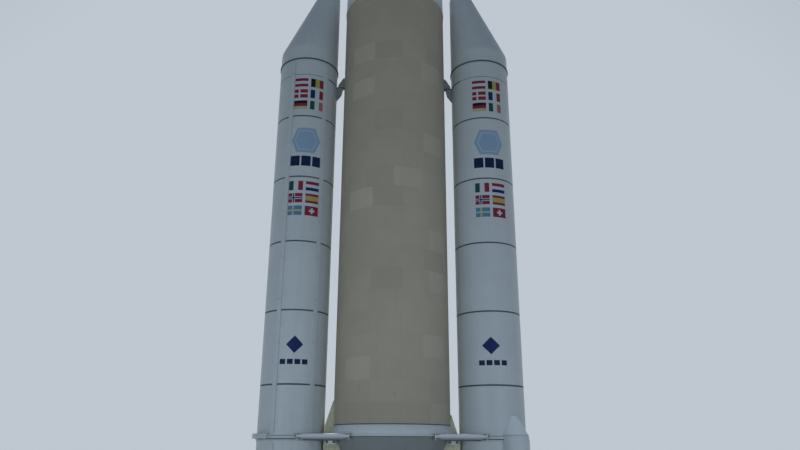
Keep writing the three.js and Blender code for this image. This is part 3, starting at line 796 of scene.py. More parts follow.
# %% Upper stage and equipment bay
STRINGERS = 72
STRINGER_SPAN = (31.25, 33.75)
STAGE_HOOPS = (32.1, 32.95)
upper_stage = Parts(flanged_drum(stage_low.z, stage_high.z))
for i in range(STRINGERS):
    angle = 360 * i / STRINGERS
    upper_stage.add(patch(CORE_RADIUS, 0.025, *STRINGER_SPAN, angle, 0.45))
for height in STAGE_HOOPS:
    upper_stage.add(hoop(CORE_RADIUS - 0.01, CORE_RADIUS + 0.015, height - 0.03, height + 0.03))
make("upper_stage_fine", upper_stage, [white_paint], ["upper_stage"], bevel=0.008)

BAY_HATCHES = 10
HATCH_FRAME = (34.22, 34.88)
HATCH_COVER = (34.30, 34.80)
bay = Parts(flanged_drum(bay_low.z, bay_high.z))
for i in range(BAY_HATCHES):
    middle = 360 / BAY_HATCHES * (i + 0.5)
    bay.add(patch(CORE_RADIUS, 0.018, *HATCH_FRAME, middle, 8))
    bay.add(hoop(CORE_RADIUS, CORE_RADIUS + 0.028, *HATCH_COVER, middle - 6.6, middle + 6.6), 1)
    for side in (-5.6, 5.6):
        for height in (34.36, 34.74):
            bay.add(bolt_around(CORE_RADIUS + 0.028, middle + side, height, 0.02, 0.012), 2)
make("equipment_bay_fine", bay, [frame_paint, bracket_paint, bare_steel], ["equipment_bay"], bevel=0.006)

# %% [markdown]
# ## The payload fairing
#
# The fairing is two half shells that part along an upright seam. Its nose follows one Bezier curve.
# Each half is a thin shell with an inner face, turned through 180 degrees, so the seam between the
# halves is a real gap. Vent doors, an access door and the level seams are added as thin plates.

# %% The payload fairing
fair_low, fair_high = span("fairing_half_front")
SHOULDER = 44.0
SHOULDER_PULL = 3.30
TIP_PULL = 1.15
FAIRING_WALL = 0.10


def bezier(stops, steps):
    """Points on the Bezier curve through 3 or 4 control points of any number of values."""
    degree = len(stops) - 1
    curve = []
    for i in range(steps + 1):
        t = i / steps
        weights = [math.comb(degree, k) * t ** k * (1 - t) ** (degree - k) for k in range(degree + 1)]
        curve.append(tuple(sum(w * value for w, value in zip(weights, values)) for values in zip(*stops)))
    return curve


def nose_outline(radius, tip):
    return bezier([(radius, SHOULDER), (radius, SHOULDER + SHOULDER_PULL), (TIP_PULL, tip), (0.004, tip)], 36)


def fairing_shell(start, end):
    inner = CORE_RADIUS - FAIRING_WALL
    outside = [(CORE_RADIUS, fair_low.z), *nose_outline(CORE_RADIUS, fair_high.z)]
    inside = [(inner, fair_low.z), *nose_outline(inner, fair_high.z - FAIRING_WALL)]
    return turned(outside + inside[::-1], start, end)


SEAM_GAP = 0.25  # degrees left open at each side of the seam between the halves
LEVEL_SEAMS = (35.18, 38.5, 41.25, SHOULDER)
VENT_DOORS = 8
VENT_SPAN = (35.55, 35.85)
DOOR_SPAN = (37.0, 37.9)
for name, start in (("fairing_half_front", -90), ("fairing_half_rear", 90)):
    half = Parts(fairing_shell(start + SEAM_GAP, start + 180 - SEAM_GAP))
    for level in LEVEL_SEAMS:
        half.add(hoop(CORE_RADIUS - 0.01, CORE_RADIUS + 0.008, level, level + 0.05, start + 1, start + 179))
    for edge in (start + 0.4, start + 178.1):
        half.add(hoop(CORE_RADIUS - 0.01, CORE_RADIUS + 0.02, fair_low.z, SHOULDER, edge, edge + 1.5))
    for i in range(VENT_DOORS):
        vent = start + 180 / VENT_DOORS * i + 11
        half.add(patch(CORE_RADIUS, 0.012, *VENT_SPAN, vent, 3), 1)
    half.add(patch(CORE_RADIUS, 0.012, *DOOR_SPAN, start + 68, 8))
    make(name + "_fine", half, [fairing_paint, bracket_paint], [name], bevel=0.005)
print("fairing from", round(fair_low.z, 2), "to", round(fair_high.z, 2))

# %% [markdown]
# ## Thrust frame, heat shield and flares
#
# Under the tank a grey cone carries the engine's thrust to the ring. Its upper part is plain, and
# ribs stiffen the lower part outside. The solid's own shape is kept for the inside, and a smooth
# skin covers its flat sides. Beside it, facing each booster, a foam-covered flare hides the fittings.

# %% Thrust frame, heat shield and flares
_, cone_high = span("thrust_frame")
_, shield_high = span("base_heat_shield")
CONE_BOTTOM = shield_high.z
CONE_BOTTOM_RADIUS = shield_high.y
CONE_TOP_RADIUS = 2.62


def cone_radius(height):
    share = (height - CONE_BOTTOM) / (cone_high.z - CONE_BOTTOM)
    return CONE_BOTTOM_RADIUS + share * (CONE_TOP_RADIUS - CONE_BOTTOM_RADIUS)


RIBS = 36
RIB_BOTTOM = 4.0
RIB_TOP = 5.15
frame_extra = [(turned([
    (CONE_BOTTOM_RADIUS - 0.02, CONE_BOTTOM + 0.002), (CONE_BOTTOM_RADIUS + 0.012, CONE_BOTTOM + 0.002),
    (CONE_TOP_RADIUS + 0.012, cone_high.z - 0.002), (CONE_TOP_RADIUS - 0.02, cone_high.z - 0.002),
]), 0)]
for i in range(RIBS):
    angle = 360 * i / RIBS
    rib = turned([
        (cone_radius(RIB_BOTTOM), RIB_BOTTOM), (cone_radius(RIB_BOTTOM) + 0.04, RIB_BOTTOM),
        (cone_radius(RIB_TOP) + 0.03, RIB_TOP - 0.03), (cone_radius(RIB_TOP), RIB_TOP),
    ], angle - 0.6, angle + 0.6)
    frame_extra.append((rib, 0))
for height in (4.45, RIB_TOP - 0.03):
    outer = cone_radius(height) + 0.035
    frame_extra.append((hoop(outer - 0.06, outer, height, height + 0.05), 0))
refined("thrust_frame", frame_paint, extra=frame_extra)
refined("base_heat_shield", frame_paint, bevel=0.02)
for side in ("left", "right"):
    refined(side + "_side_fairing", flare_foam, bevel=0.05)

# %% [markdown]
# ## Brackets between core and boosters
#
# Near the top each booster pushes on the core through a pair of wedge-shaped brackets that meet face
# to face. They are refined solids with bolts on each cheek. Between them lies a dark plate, a little
# proud of both, that is painted shade in the joint, so that the joint reads as a line.

# %% Brackets between core and boosters
SHADE_PLATE_HALF = 0.028  # half the height of the dark plate
STUDS_ACROSS = (0.10, 0.22)
STUDS_AWAY = (0.10, 0.20)  # from the joint

for side, sign in (("left", -1), ("right", 1)):
    for solid in (side + "_core_bracket", side + "_booster_bracket"):
        low, high = span(solid)
        studs = []
        on_core = "core" in solid
        towards = -1 if on_core else 1
        joint = low.z if on_core else high.z
        root_x = CORE_RADIUS if on_core else BOOSTER_X - BOOSTER_RADIUS
        for cheek in (-1, 1):
            for across in STUDS_ACROSS:
                for rise in STUDS_AWAY:
                    spot = (sign * (root_x - towards * across), high.y * cheek, joint - towards * rise)
                    studs.append((bolt(spot, (0, cheek, 0), 0.022, 0.018), 1))
        refined(solid, bracket_paint, bevel=0.02, extra=studs, extra_finishes=[bare_steel])
    # A dark plate between the brackets, as painted shade in the joint.
    plate_ends = sorted((sign * (CORE_RADIUS - 0.02), sign * (BOOSTER_X - BOOSTER_RADIUS + 0.02)))
    half_width = high.y + 0.006
    plate_low = (plate_ends[0], -half_width, high.z - SHADE_PLATE_HALF)
    plate_high = (plate_ends[1], half_width, high.z + SHADE_PLATE_HALF)
    make(side + "_bracket_joint_shade", Parts(box(plate_low, plate_high)), [sealant_and_painted_shade], bevel=0.006)

# %% [markdown]
# ## Lines on the back of the core
#
# The feed line brings liquid oxygen down past the lower tank, outside the foam. It is a pipe with an
# elbow into the tank at each end, held by clamps. The cable duct beside it is a flat channel with a
# cover every two metres, and the umbilical plate is where the ground's hoses plug in.

# %% Lines on the back of the core
line_low, line_high = span("oxygen_feed_line")
LINE_ANGLE = 150.0
LINE_RADIUS = 0.14
LINE_AXIS = 2.86
ELBOW = 0.22
CLAMPS = (9.5, 13.0, 16.5, 20.0, 23.5)
PIPE_JOINTS = (line_low.z + 0.6, 11.2, 18.2, line_high.z - 0.6)


def sleeve(height, half, radius):
    """A short sleeve around the feed line."""
    centre = at_angle(LINE_AXIS, LINE_ANGLE, height)
    rise = Vector((0, 0, half))
    return rod(centre - rise, centre + rise, radius, 32)


lower_half = []
for i in range(7):
    lean = math.radians(15 * i)
    outward, rise = ELBOW * math.sin(lean), ELBOW * (1 - math.cos(lean))
    lower_half.append((LINE_AXIS - ELBOW + outward, line_low.z + 0.2 + rise))
upper_half = [(radius, line_low.z + line_high.z - height) for radius, height in reversed(lower_half)]
line_path = lower_half + upper_half
line_stops = [(at_angle(radius, LINE_ANGLE, height), LINE_RADIUS) for radius, height in line_path]
feed_line = Parts(pipe(line_stops, sides=32))
for height in CLAMPS:
    feed_line.add(sleeve(height, 0.06, 0.17), 1)
    foot = box((-0.20, -LINE_AXIS, height - 0.05), (0.20, -CORE_RADIUS, height + 0.05))
    feed_line.add(turned_to(foot, LINE_ANGLE), 1)
for height in PIPE_JOINTS:
    feed_line.add(sleeve(height, 0.03, 0.19), 1)
make("oxygen_feed_line_fine", feed_line, [tank_foam, bracket_paint], ["oxygen_feed_line"], bevel=0.01)

duct_low, duct_high = span("cable_duct")
DUCT_ANGLE = 218.0
DUCT_SPAN = 3.4  # degrees from the middle to each side
DUCT_COVERS = 12
duct_edges = (DUCT_ANGLE - DUCT_SPAN, DUCT_ANGLE + DUCT_SPAN)
cover = (duct_edges[0] - 0.2, duct_edges[1] + 0.2)
cable_duct = Parts(hoop(CORE_RADIUS, CORE_RADIUS + 0.11, duct_low.z, duct_high.z, *duct_edges))
for i in range(DUCT_COVERS):
    joint = duct_low.z + 1.0 + 2.0 * i
    cable_duct.add(hoop(CORE_RADIUS, CORE_RADIUS + 0.12, joint, joint + 0.08, *cover), 1)
make("cable_duct_fine", cable_duct, [tank_foam, white_paint], ["cable_duct"], bevel=0.015)

PLATE_ANGLE = 205.0
# How far across, how high and how wide each hose socket is.
SOCKETS = [(-0.2, 7.35, 0.09), (0.2, 7.35, 0.09), (-0.2, 7.85, 0.07), (0.0, 7.6, 0.05), (0.2, 7.85, 0.07)]
sockets = []
for across, height, size in SOCKETS:
    rim = rod((across, -2.755, height), (across, -2.80, height), size, 24)
    cup = rod((across, -2.80, height), (across, -2.805, height), size * 0.7, 24)
    sockets += [(turned_to(rim, PLATE_ANGLE), 1), (turned_to(cup, PLATE_ANGLE), 2)]
refined("umbilical_plate", bracket_paint, bevel=0.012, extra=sockets,
        extra_finishes=[bare_steel, throat_soot])

# %% [markdown]
# ## Booster cases
#
# A booster is a stack of steel motor sections. Where two sections meet, a dark sealed band runs
# around the case, and there are more bands between. Each lies in a shallow groove, so it has a lip
# above and below. A painted line would do from far away; the groove also catches the low light.

# %% Booster cases
BAND_HEIGHT = 0.076
GROOVE = 0.016
BANDS = [8.11, 11.48, 14.82, 18.15, 21.49]
SECTIONS = ["aft_segment", "middle_segment", "forward_segment", "forward_skirt"]
CASE_FOOT = span("left_aft_ring")[1].z - 0.07
WIDE_BAND_ARC = (50, 130)  # degrees facing the core, where the topmost joint's dark band is wider and stands proud

PLACES = {
    "left": Matrix.Translation((-BOOSTER_X, 0, 0)),
    "right": Matrix.Translation((BOOSTER_X, 0, 0)) @ Matrix.Rotation(math.pi, 4, "Z"),
}


def on_booster(side, name, parts, finishes, bevel):
    """Make a piece on one of the boosters, in place of the solid of that name."""
    solid = f"{side}_{name}"
    make(solid + "_fine", parts, finishes, [solid], place=PLACES[side], bevel=bevel)


def grooved_case(low, high):
    """A drum with a groove at each band. A band at an end of the drum cuts half a groove there."""
    floor = BOOSTER_RADIUS - GROOVE
    half_band = BAND_HEIGHT / 2
    outline = [(0, low), (floor if low in BANDS else BOOSTER_RADIUS, low)]
    for band in BANDS:
        lower, upper = band - half_band, band + half_band
        for edge, before, after in ((lower, BOOSTER_RADIUS, floor), (upper, floor, BOOSTER_RADIUS)):
            if low < edge < high:
                outline += [(before, edge), (after, edge)]
    outline += [(floor if high in BANDS else BOOSTER_RADIUS, high), (0, high)]
    return turned(outline)


for side, place in PLACES.items():
    for section in SECTIONS:
        solid = f"{side}_{section}"
        low, high = (round(corner.z, 3) for corner in span(solid))
        low = CASE_FOOT if section == "aft_segment" else low
        case = Parts(grooved_case(low, high))
        for band in BANDS:
            if low <= band < high:
                inside = BOOSTER_RADIUS - GROOVE - 0.02
                edges = (band - BAND_HEIGHT / 2 + 0.002, band + BAND_HEIGHT / 2 - 0.002)
                case.add(hoop(inside, BOOSTER_RADIUS - 0.005, *edges), 1)
        if section == "forward_skirt":
            inside = BOOSTER_RADIUS - 0.02
            case.add(hoop(inside, BOOSTER_RADIUS + 0.002, low - 0.014, low + 0.014), 1)
            case.add(hoop(inside, BOOSTER_RADIUS + 0.005, low - 0.038, low + 0.038, *WIDE_BAND_ARC), 1)
        make(solid + "_fine", case, [booster_paint, sealant_and_painted_shade], place=place, bevel=0.004,
             replaces=[] if section == "aft_segment" else [solid])
print("cases:", len(PLACES) * len(SECTIONS))

# %% [markdown]
# ## Nose cones
#
# A booster's nose leans inwards: its inner side stays upright and its outer side slopes, up to a
# rounded cap. It is turned like a straight cone first, and then each level is moved towards the
# core. Up to the cap the move is the radius that the level has lost, and over the cap it follows
# a curve of its own, so that both sides stay smooth. At the foot a dark ring stands proud.

# %% Nose cones
nose_low, nose_high = span("left_nose_cone")
CONE_START = 25.68
CONE_SLOPE = 0.455
SHOULDER_LOW = CONE_START - 0.10
SHOULDER_HIGH = CONE_START + 0.20
CAP_START = nose_high.z - 0.42


def nose_level(height):
    """The radius, height and lean of a level of the cone."""
    lost = CONE_SLOPE / 2 * (height - CONE_START)
    return BOOSTER_RADIUS - lost, height, lost


def leaned(levels):
    """A turned shape with each of its levels moved towards +X by the level's lean."""
    points, faces = turned([(radius, height) for radius, height, _ in levels])
    moved = []
    for point in points:
        _, _, lean = min(levels, key=lambda level: abs(level[1] - point.z))
        moved.append(point + Vector((lean, 0, 0)))
    return moved, faces


shoulder = bezier([(BOOSTER_RADIUS, SHOULDER_LOW, 0), nose_level(CONE_START), nose_level(SHOULDER_HIGH)], 10)
peak = nose_level(nose_high.z)
cap = bezier([nose_level(CAP_START), peak, (0, nose_high.z, peak[2])], 16)
nose_levels = [(0, nose_low.z, 0), (BOOSTER_RADIUS, nose_low.z, 0), *shoulder, *cap]
for side in PLACES:
    nose = Parts(leaned(nose_levels))
    nose.add(hoop(BOOSTER_RADIUS - 0.02, BOOSTER_RADIUS + 0.045, nose_low.z - 0.035, nose_low.z + 0.035), 1)
    on_booster(side, "nose_cone", nose, [booster_paint, sealant_and_painted_shade], bevel=0.006)
print("nose cones up to", round(nose_high.z, 2))

# %% [markdown]
# ## Attachment rings and aft skirts
#
# Each booster stands on its aft skirt. Above the skirt an attachment ring takes the struts, with a
# thick collar on the outer side. The skirt has stiffening rings, hatches, gussets at the foot and
# four pads for the hold-down bolts. It is open below, so it is turned as a thin wall.

# %% Attachment rings and aft skirts
skirt_bottom, skirt_top = span("left_aft_skirt")
ring_bottom, ring_top = span("left_aft_ring")
RING_LOW = 5.80
RING_EDGE = 5.875  # where its slanted upper side begins
RING_HIGH = 5.93
RING_RADIUS = 1.60
COLLAR_RADIUS = 1.74
COLLAR_START = -72
COLLAR_END = -30
SKIRT_INNER = 1.45
FOOT_RADIUS = skirt_top.y
FOOT_HEIGHT = 0.12
GUSSET_TOP = 0.62
PAD_TOP = FOOT_HEIGHT + 0.10
SKIRT_HOOPS = (1.15, 2.75, 4.35, RING_LOW - 0.12)
PAD_ANGLES = (45, 135, 225, 315)
HATCH_ANGLES = (-70, 10, 100, 165, 245)


def attachment_ring():
    ring = Parts(turned([
        (1.40, RING_LOW), (RING_RADIUS, RING_LOW), (RING_RADIUS, RING_EDGE),
        (BOOSTER_RADIUS + 0.005, RING_HIGH), (1.40, RING_HIGH),
    ]))
    # A thin dark band just under the ring, as painted shadow below it.
    ring.add(hoop(1.42, RING_RADIUS - 0.01, RING_LOW - 0.045, RING_LOW + 0.01), 1)
    ring.add(hoop(BOOSTER_RADIUS + 0.005, COLLAR_RADIUS, ring_bottom.z, ring_top.z, COLLAR_START, COLLAR_END))
    middle = (ring_bottom.z + ring_top.z) / 2
    for angle in range(COLLAR_START + 4, COLLAR_END, 8):
        ring.add(bolt_around(COLLAR_RADIUS, angle, middle, 0.020, 0.015), 2)
    return ring


def aft_skirt():
    skirt = Parts(turned([
        (SKIRT_INNER, 0), (FOOT_RADIUS, 0), (FOOT_RADIUS, FOOT_HEIGHT), (BOOSTER_RADIUS, FOOT_HEIGHT),
        (BOOSTER_RADIUS, RING_LOW), (SKIRT_INNER, RING_LOW),
    ]))
    for height in SKIRT_HOOPS:
        skirt.add(hoop(BOOSTER_RADIUS - 0.01, BOOSTER_RADIUS + 0.03, height - 0.03, height + 0.03))
        skirt.add(hoop(SKIRT_INNER - 0.05, SKIRT_INNER + 0.01, height - 0.02, height + 0.02))
    for angle in range(0, 360, 15):
        skirt.add(turned([
            (BOOSTER_RADIUS - 0.01, FOOT_HEIGHT), (FOOT_RADIUS - 0.012, FOOT_HEIGHT),
            (BOOSTER_RADIUS + 0.004, GUSSET_TOP), (BOOSTER_RADIUS - 0.01, GUSSET_TOP),
        ], angle - 0.5, angle + 0.5))
    for angle in PAD_ANGLES:
        edges = (angle - 5, angle + 5)
        skirt.add(hoop(BOOSTER_RADIUS - 0.01, FOOT_RADIUS - 0.005, FOOT_HEIGHT, PAD_TOP, *edges), 1)
        for offset in (-2.8, 2.8):
            spot = at_angle(BOOSTER_RADIUS + 0.05, angle + offset, PAD_TOP)
            skirt.add(bolt(spot, (0, 0, 1), 0.03, 0.05), 2)
    for angle in HATCH_ANGLES:
        skirt.add(patch(BOOSTER_RADIUS, 0.014, 1.55, 2.25, angle, 11))
        for offset in (-9.5, 9.5):
            for height in (1.63, 2.17):
                skirt.add(bolt_around(BOOSTER_RADIUS + 0.014, angle + offset, height, 0.018, 0.012), 2)
    return skirt


for side in PLACES:
    on_booster(side, "aft_ring", attachment_ring(), [booster_paint, sealant_and_painted_shade, bare_steel], bevel=0.01)
    on_booster(side, "aft_skirt", aft_skirt(), [booster_paint, bracket_paint, bare_steel], bevel=0.008)
print("skirts stand on", round(skirt_bottom.z, 3))

# %% [markdown]
# ## Raceways
#
# Cables run down a booster under long covers, the raceways. Each cover is 2 m long and screwed down
# at its corners, with a narrow gap to the next. Below the ring they go on over the skirt.

# %% Raceways
RACEWAY_ANGLES = {"outer": -25.0, "inner": 41.0}
RACEWAY_HALF = 4.1  # degrees from its middle to each side
RACEWAY_RADIUS = 1.575
COVER_LENGTH = 2.0
LOWER_COVERS = [(0.62, 2.7), (2.7, 4.3), (4.42, 5.6)]  # lowest and highest point of each, on the skirt
raceway_low, raceway_high = span("left_outer_raceway")


def raceway(angle):
    covers = Parts()
    spans = list(LOWER_COVERS)
    low = raceway_low.z
    while low < raceway_high.z - 0.1:
        spans.append((low, min(low + COVER_LENGTH, raceway_high.z)))
        low += COVER_LENGTH
    edges = (angle - RACEWAY_HALF, angle + RACEWAY_HALF)
    for low, high in spans:
        covers.add(hoop(BOOSTER_RADIUS - 0.01, RACEWAY_RADIUS, low + 0.006, high - 0.006, *edges, step=1.0))
        for side_angle in (angle - 3.1, angle + 3.1):
            for height in (low + 0.12, (low + high) / 2, high - 0.12):
                covers.add(bolt_around(RACEWAY_RADIUS, side_angle, height, 0.014, 0.008), 1)
    return covers


for side in PLACES:
    for name, angle in RACEWAY_ANGLES.items():
        on_booster(side, name + "_raceway", raceway(angle), [booster_paint, bare_steel], bevel=0.008)
print("raceway top at", round(raceway_high.z, 2))

# %% [markdown]
# ## Actuator fairings
#
# A blister on the skirt's outer side covers the unit that drives the nozzle. It is a blunt, leaning
# cone over a half-round housing of the skirt's own colour; the cone is painted paler, as painted
# sunlight on it. It is turned as a whole and moved off the booster's axis. Whatever would reach into
# the open skirt is drawn back inside the skirt's wall. A dark ring at the cone's foot is painted shade
# under its edge, and a dark strip down the housing is a painted shadow line along the skirt's edge.

# %% Actuator fairings
BLISTER_ANGLE = 210.5
BLISTER_AXIS = 1.60
BLISTER_RADIUS = 0.57
HOUSING_RADIUS = 0.61
HOUSING_TOP = 5.70
BLISTER_CONE = 5.96
BLISTER_APEX = 6.83
APEX_AXIS = 1.47
SHADOW_LINE_ANGLE = 56.0  # degrees around the housing from its outermost line
IN_WALL = 1.49  # a radius inside the skirt's wall


def off_axis(part):
    """Move a part off the booster's axis, less so towards the apex, and turn it to its place."""
    points, faces = part
    moved = []
    for point in points:
        rise = max(0.0, point.z - BLISTER_CONE) / (BLISTER_APEX - BLISTER_CONE)
        point = point - Vector((0, BLISTER_AXIS + (APEX_AXIS - BLISTER_AXIS) * rise, 0))
        reach = math.hypot(point.x, point.y)
        if reach < IN_WALL:
            point = Vector((point.x * IN_WALL / reach, point.y * IN_WALL / reach, point.z))
        moved.append(point)
    return turned_to((moved, faces), BLISTER_ANGLE)


def blister():
    housing = turned([
        (0, 3.40), (0.25, 3.40), (HOUSING_RADIUS, 3.90), (HOUSING_RADIUS, HOUSING_TOP),
        (BLISTER_RADIUS, BLISTER_CONE), (0, BLISTER_CONE),
    ])
    tip = bezier([(0.19, 6.74), (0.17, BLISTER_APEX), (0.02, BLISTER_APEX)], 8)
    cone = turned([(0, BLISTER_CONE), (BLISTER_RADIUS, BLISTER_CONE), *tip, (0, BLISTER_APEX)])
    # A dark ring at the cone's foot, as painted shade under its edge.
    joint = turned([
        (0, BLISTER_CONE - 0.012), (BLISTER_RADIUS + 0.004, BLISTER_CONE - 0.012),
        (BLISTER_RADIUS + 0.004, BLISTER_CONE + 0.004), (0, BLISTER_CONE + 0.004),
    ])
    # A dark strip down the housing, as a painted shadow line along the skirt's edge.
    edges = (SHADOW_LINE_ANGLE - 1.5, SHADOW_LINE_ANGLE + 1.5)
    shadow_line = hoop(HOUSING_RADIUS - 0.01, HOUSING_RADIUS + 0.004, 3.95, HOUSING_TOP, *edges, step=1.5)
    parts = Parts(off_axis(housing))
    parts.add(off_axis(cone), 1)
    for part in (joint, shadow_line):
        parts.add(off_axis(part), 2)
    return parts


for side in PLACES:
    on_booster(side, "actuator_fairing", blister(), [housing_paint, lit_cone_paint, sealant_and_painted_shade], bevel=0.006)
print("blisters up to", BLISTER_APEX)

# %% [markdown]
# ## Struts
#
# At the aft ring each booster is tied to the core by a strut in front and one behind. A strut is a
# round tube that tapers to a fork at each end, with a pin through it. Its paint is lighter on top and
# darker below, as painted light and shade, and a dark strip along its underside is painted shadow.

# %% Struts
STRUT_HEIGHT = 5.87
STRUT_RADIUS = 0.13
STRUT_END = 0.07
STRUT_TAPER = 0.30
SHADOW_STRIP_RADIUS = 0.035
SHADOW_STRIP_DROP = 0.135
BOOSTER_PIN = (16.5, 163.5)  # degrees around the booster, for the front and the rear strut
CORE_PIN = (-41.5, -138.5)  # degrees around the core
BOOSTER_REACH = RING_RADIUS + 0.10  # from the booster's axis to its pins
CORE_REACH = CORE_RADIUS + 0.12  # from the core's axis to its pins


def fork(radius, angle, centre):
    """Two cheeks and a pin that stick out of a ring."""
    parts = []
    for level in (-0.115, 0.085):
        foot = STRUT_HEIGHT + level
        parts.append((box((-0.10, -radius - 0.08, foot), (0.10, -radius + 0.10, foot + 0.03)), 1))
    parts.append((rod((0, -radius, STRUT_HEIGHT - 0.14), (0, -radius, STRUT_HEIGHT + 0.14), 0.04, 20), 2))
    return [(placed(turned_to(part, angle), Matrix.Translation(centre)), finish) for part, finish in parts]


def shadow_strip(start, end):
    """A dark strip along the underside of a strut, on the side away from the core's axis: painted shadow."""
    outward = Vector((0, math.copysign(1, start.y), 0))
    drop = Vector((0, 0, -SHADOW_STRIP_DROP)) + outward * 0.02
    along = (end - start).normalized()
    return rod(start + along * 0.30 + drop, end - along * 0.40 + drop, SHADOW_STRIP_RADIUS)


def strut(behind):
    core_centre = Vector((BOOSTER_X, 0, 0))
    start = at_angle(BOOSTER_REACH, BOOSTER_PIN[behind], STRUT_HEIGHT)
    end = at_angle(CORE_REACH, CORE_PIN[behind], STRUT_HEIGHT) + core_centre
    along = (end - start).normalized()
    bar = Parts(pipe([
        (start, STRUT_END), (start + along * 0.08, STRUT_END), (start + along * STRUT_TAPER, STRUT_RADIUS),
        (end - along * STRUT_TAPER, STRUT_RADIUS), (end - along * 0.08, STRUT_END), (end, STRUT_END),
    ], 32))
    # A dark strip under the strut, as painted shadow.
    bar.add(shadow_strip(start, end), 3)
    for part, finish in fork(BOOSTER_REACH, BOOSTER_PIN[behind], (0, 0, 0)):
        bar.add(part, finish)
    for part, finish in fork(CORE_REACH, CORE_PIN[behind], core_centre):
        bar.add(part, finish)
    return bar


finishes = [strut_paint, bracket_paint, bare_steel, sealant_and_painted_shade]
for side in PLACES:
    for behind, name in enumerate(("front_strut", "rear_strut")):
        on_booster(side, name, strut(behind), finishes, bevel=0.01)
print("struts: 4")

# %% [markdown]
# ## Engines
#
# Each engine hangs on a gimbal: two fixed ears, a cross with four pins, and two ears on the engine.
# The solids give the ears and the cross. The bells are turned again with more sides, with
# stiffening hoops outside and soot inside.

# %% Engines
BELL_STEPS = 24


def bell_curve(throat, exit_height, throat_radius, exit_radius):
    flare = (throat_radius + (exit_radius - throat_radius) * 0.72, throat + (exit_height - throat) * 0.42)
    return bezier([(throat_radius, throat), flare, (exit_radius, exit_height)], BELL_STEPS)


def engine(name, throat, exit_height, throat_radius, exit_radius, top, hoops, body, place=Matrix(),
           replaces=()):
    """A bell from its throat down to its exit, closed above by the outline in top."""
    wall = 0.06
    outside = bell_curve(throat, exit_height, throat_radius, exit_radius)
    inside = bell_curve(throat, exit_height, throat_radius - wall, exit_radius - wall)
    bell = Parts(turned([(0, throat), *inside, *outside[::-1], *top]))
    for share in hoops:
        radius, height = outside[round(share * (len(outside) - 1))]
        bell.add(hoop(radius - 0.03, radius + 0.03, height - 0.03, height + 0.03))
    bell.add(turned([(0, throat - 0.01), *[(radius - 0.004, height) for radius, height in inside[1:]]]), 1)
    make(name, bell, [bell_metal, throat_soot], replaces, body, place, bevel=0.004)


engine("core_nozzle_fine", 3.05, 0.90, 0.30, 1.05, [(0.30, 3.05), (0.30, 3.15), (0, 3.15)],
       (0.35, 0.5, 0.62, 0.74, 0.85, 0.93, 0.99), "core_engine", replaces=["core_nozzle"])
refined("core_engine_block", engine_metal, "core_engine", bevel=0.008)
refined("core_gimbal_cross", bare_steel, "core_gimbal", bevel=0.006)
for side, place in PLACES.items():
    engine(side + "_bell_fine", 2.70, 0.30, 0.40, 0.95, [(0.40, 2.70), (0.46, 2.82), (0.46, 3.10), (0, 3.10)],
           (0.5, 0.8, 0.99), side + "_bell", place)
    refined(side + "_nozzle", engine_metal, side + "_bell", bevel=0.006, keep=(3.105, 4.0))
    refined(side + "_gimbal_cross", bare_steel, side + "_gimbal", bevel=0.006)
    refined(side + "_aft_segment", frame_paint, bevel=0.01, keep=(3.0, 5.9))
print("engines: 3")

# %% [markdown]
# ## Flags
#
# Foil flags stand on the boosters in two blocks of six. Each is built from a few stripes or a
# cross, as thin sheets bent around the case. An image would be simpler, but plain sheets keep every
# edge sharp at any distance.

# %% Flags
FLAG_WIDTH = 0.70
FLAG_HEIGHT = 0.485
COLUMN_GAP = 0.14
ROW_GAP = 0.162
FOIL_LIFT = 0.003
FOIL_LAYER = 0.0015  # how much higher a foil lies that covers another
CROSS_MIDDLE = 0.38  # the share of a flag's width at which its cross stands


def sheet(stops, lift=FOIL_LIFT):
    """A thin sheet bent around the case. Each stop is (height, left, right), in metres along the case."""
    points, faces = [], []
    columns = 10
    levels = [stops[0]]
    for low, high in zip(stops, stops[1:]):
        steps = max(1, math.ceil(max(abs(high[1] - low[1]), abs(high[2] - low[2])) / 0.04))
        levels += [[a + (b - a) * i / steps for a, b in zip(low, high)] for i in range(1, steps + 1)]
    for height, left, right in levels:
        for i in range(columns + 1):
            across = left + (right - left) * i / columns
            points.append(at_angle(BOOSTER_RADIUS + lift, math.degrees(across / BOOSTER_RADIUS), height))
    for row in range(len(levels) - 1):
        for i in range(columns):
            here = row * (columns + 1) + i
            faces.append((here, here + 1, here + columns + 2, here + columns + 1))
    return points, faces


def upright_stripes(colours):
    step = 1 / len(colours)
    return [(i * step, (i + 1) * step, 0, 1, colour, 0) for i, colour in enumerate(colours)]


def level_stripes(colours):
    step = 1 / len(colours)
    return [(0, 1, 1 - (i + 1) * step, 1 - i * step, colour, 0) for i, colour in enumerate(colours)]


def crossed(ground, cross, arm=0.09, lift=1):
    return [
        (0, 1, 0, 1, ground, 0), (CROSS_MIDDLE - arm * 0.7, CROSS_MIDDLE + arm * 0.7, 0, 1, cross, lift),
        (0, 1, 0.5 - arm, 0.5 + arm, cross, lift + 0.4),
    ]


def plus_sign(ground, cross):
    return [(0, 1, 0, 1, ground, 0), (0.43, 0.57, 0.2, 0.8, cross, 1), (0.30, 0.70, 0.4, 0.6, cross, 1.4)]


UPPER_FLAGS = [
    [level_stripes(["red", "white", "red"]), upright_stripes(["black", "yellow", "red"])],
    [crossed("red", "white"), upright_stripes(["blue", "white", "red"])],
    [level_stripes(["black", "red", "pale_yellow"]), upright_stripes(["green", "white", "orange"])],
]
LOWER_FLAGS = [
    [upright_stripes(["green", "white", "red"]), level_stripes(["red", "white", "blue"])],
    [crossed("red", "white", arm=0.13) + crossed("red", "blue", arm=0.06, lift=2)[1:],
     level_stripes(["red", "yellow", "yellow", "red"])],
    [crossed("light_blue", "pale_yellow"), plus_sign("red", "white")],
]


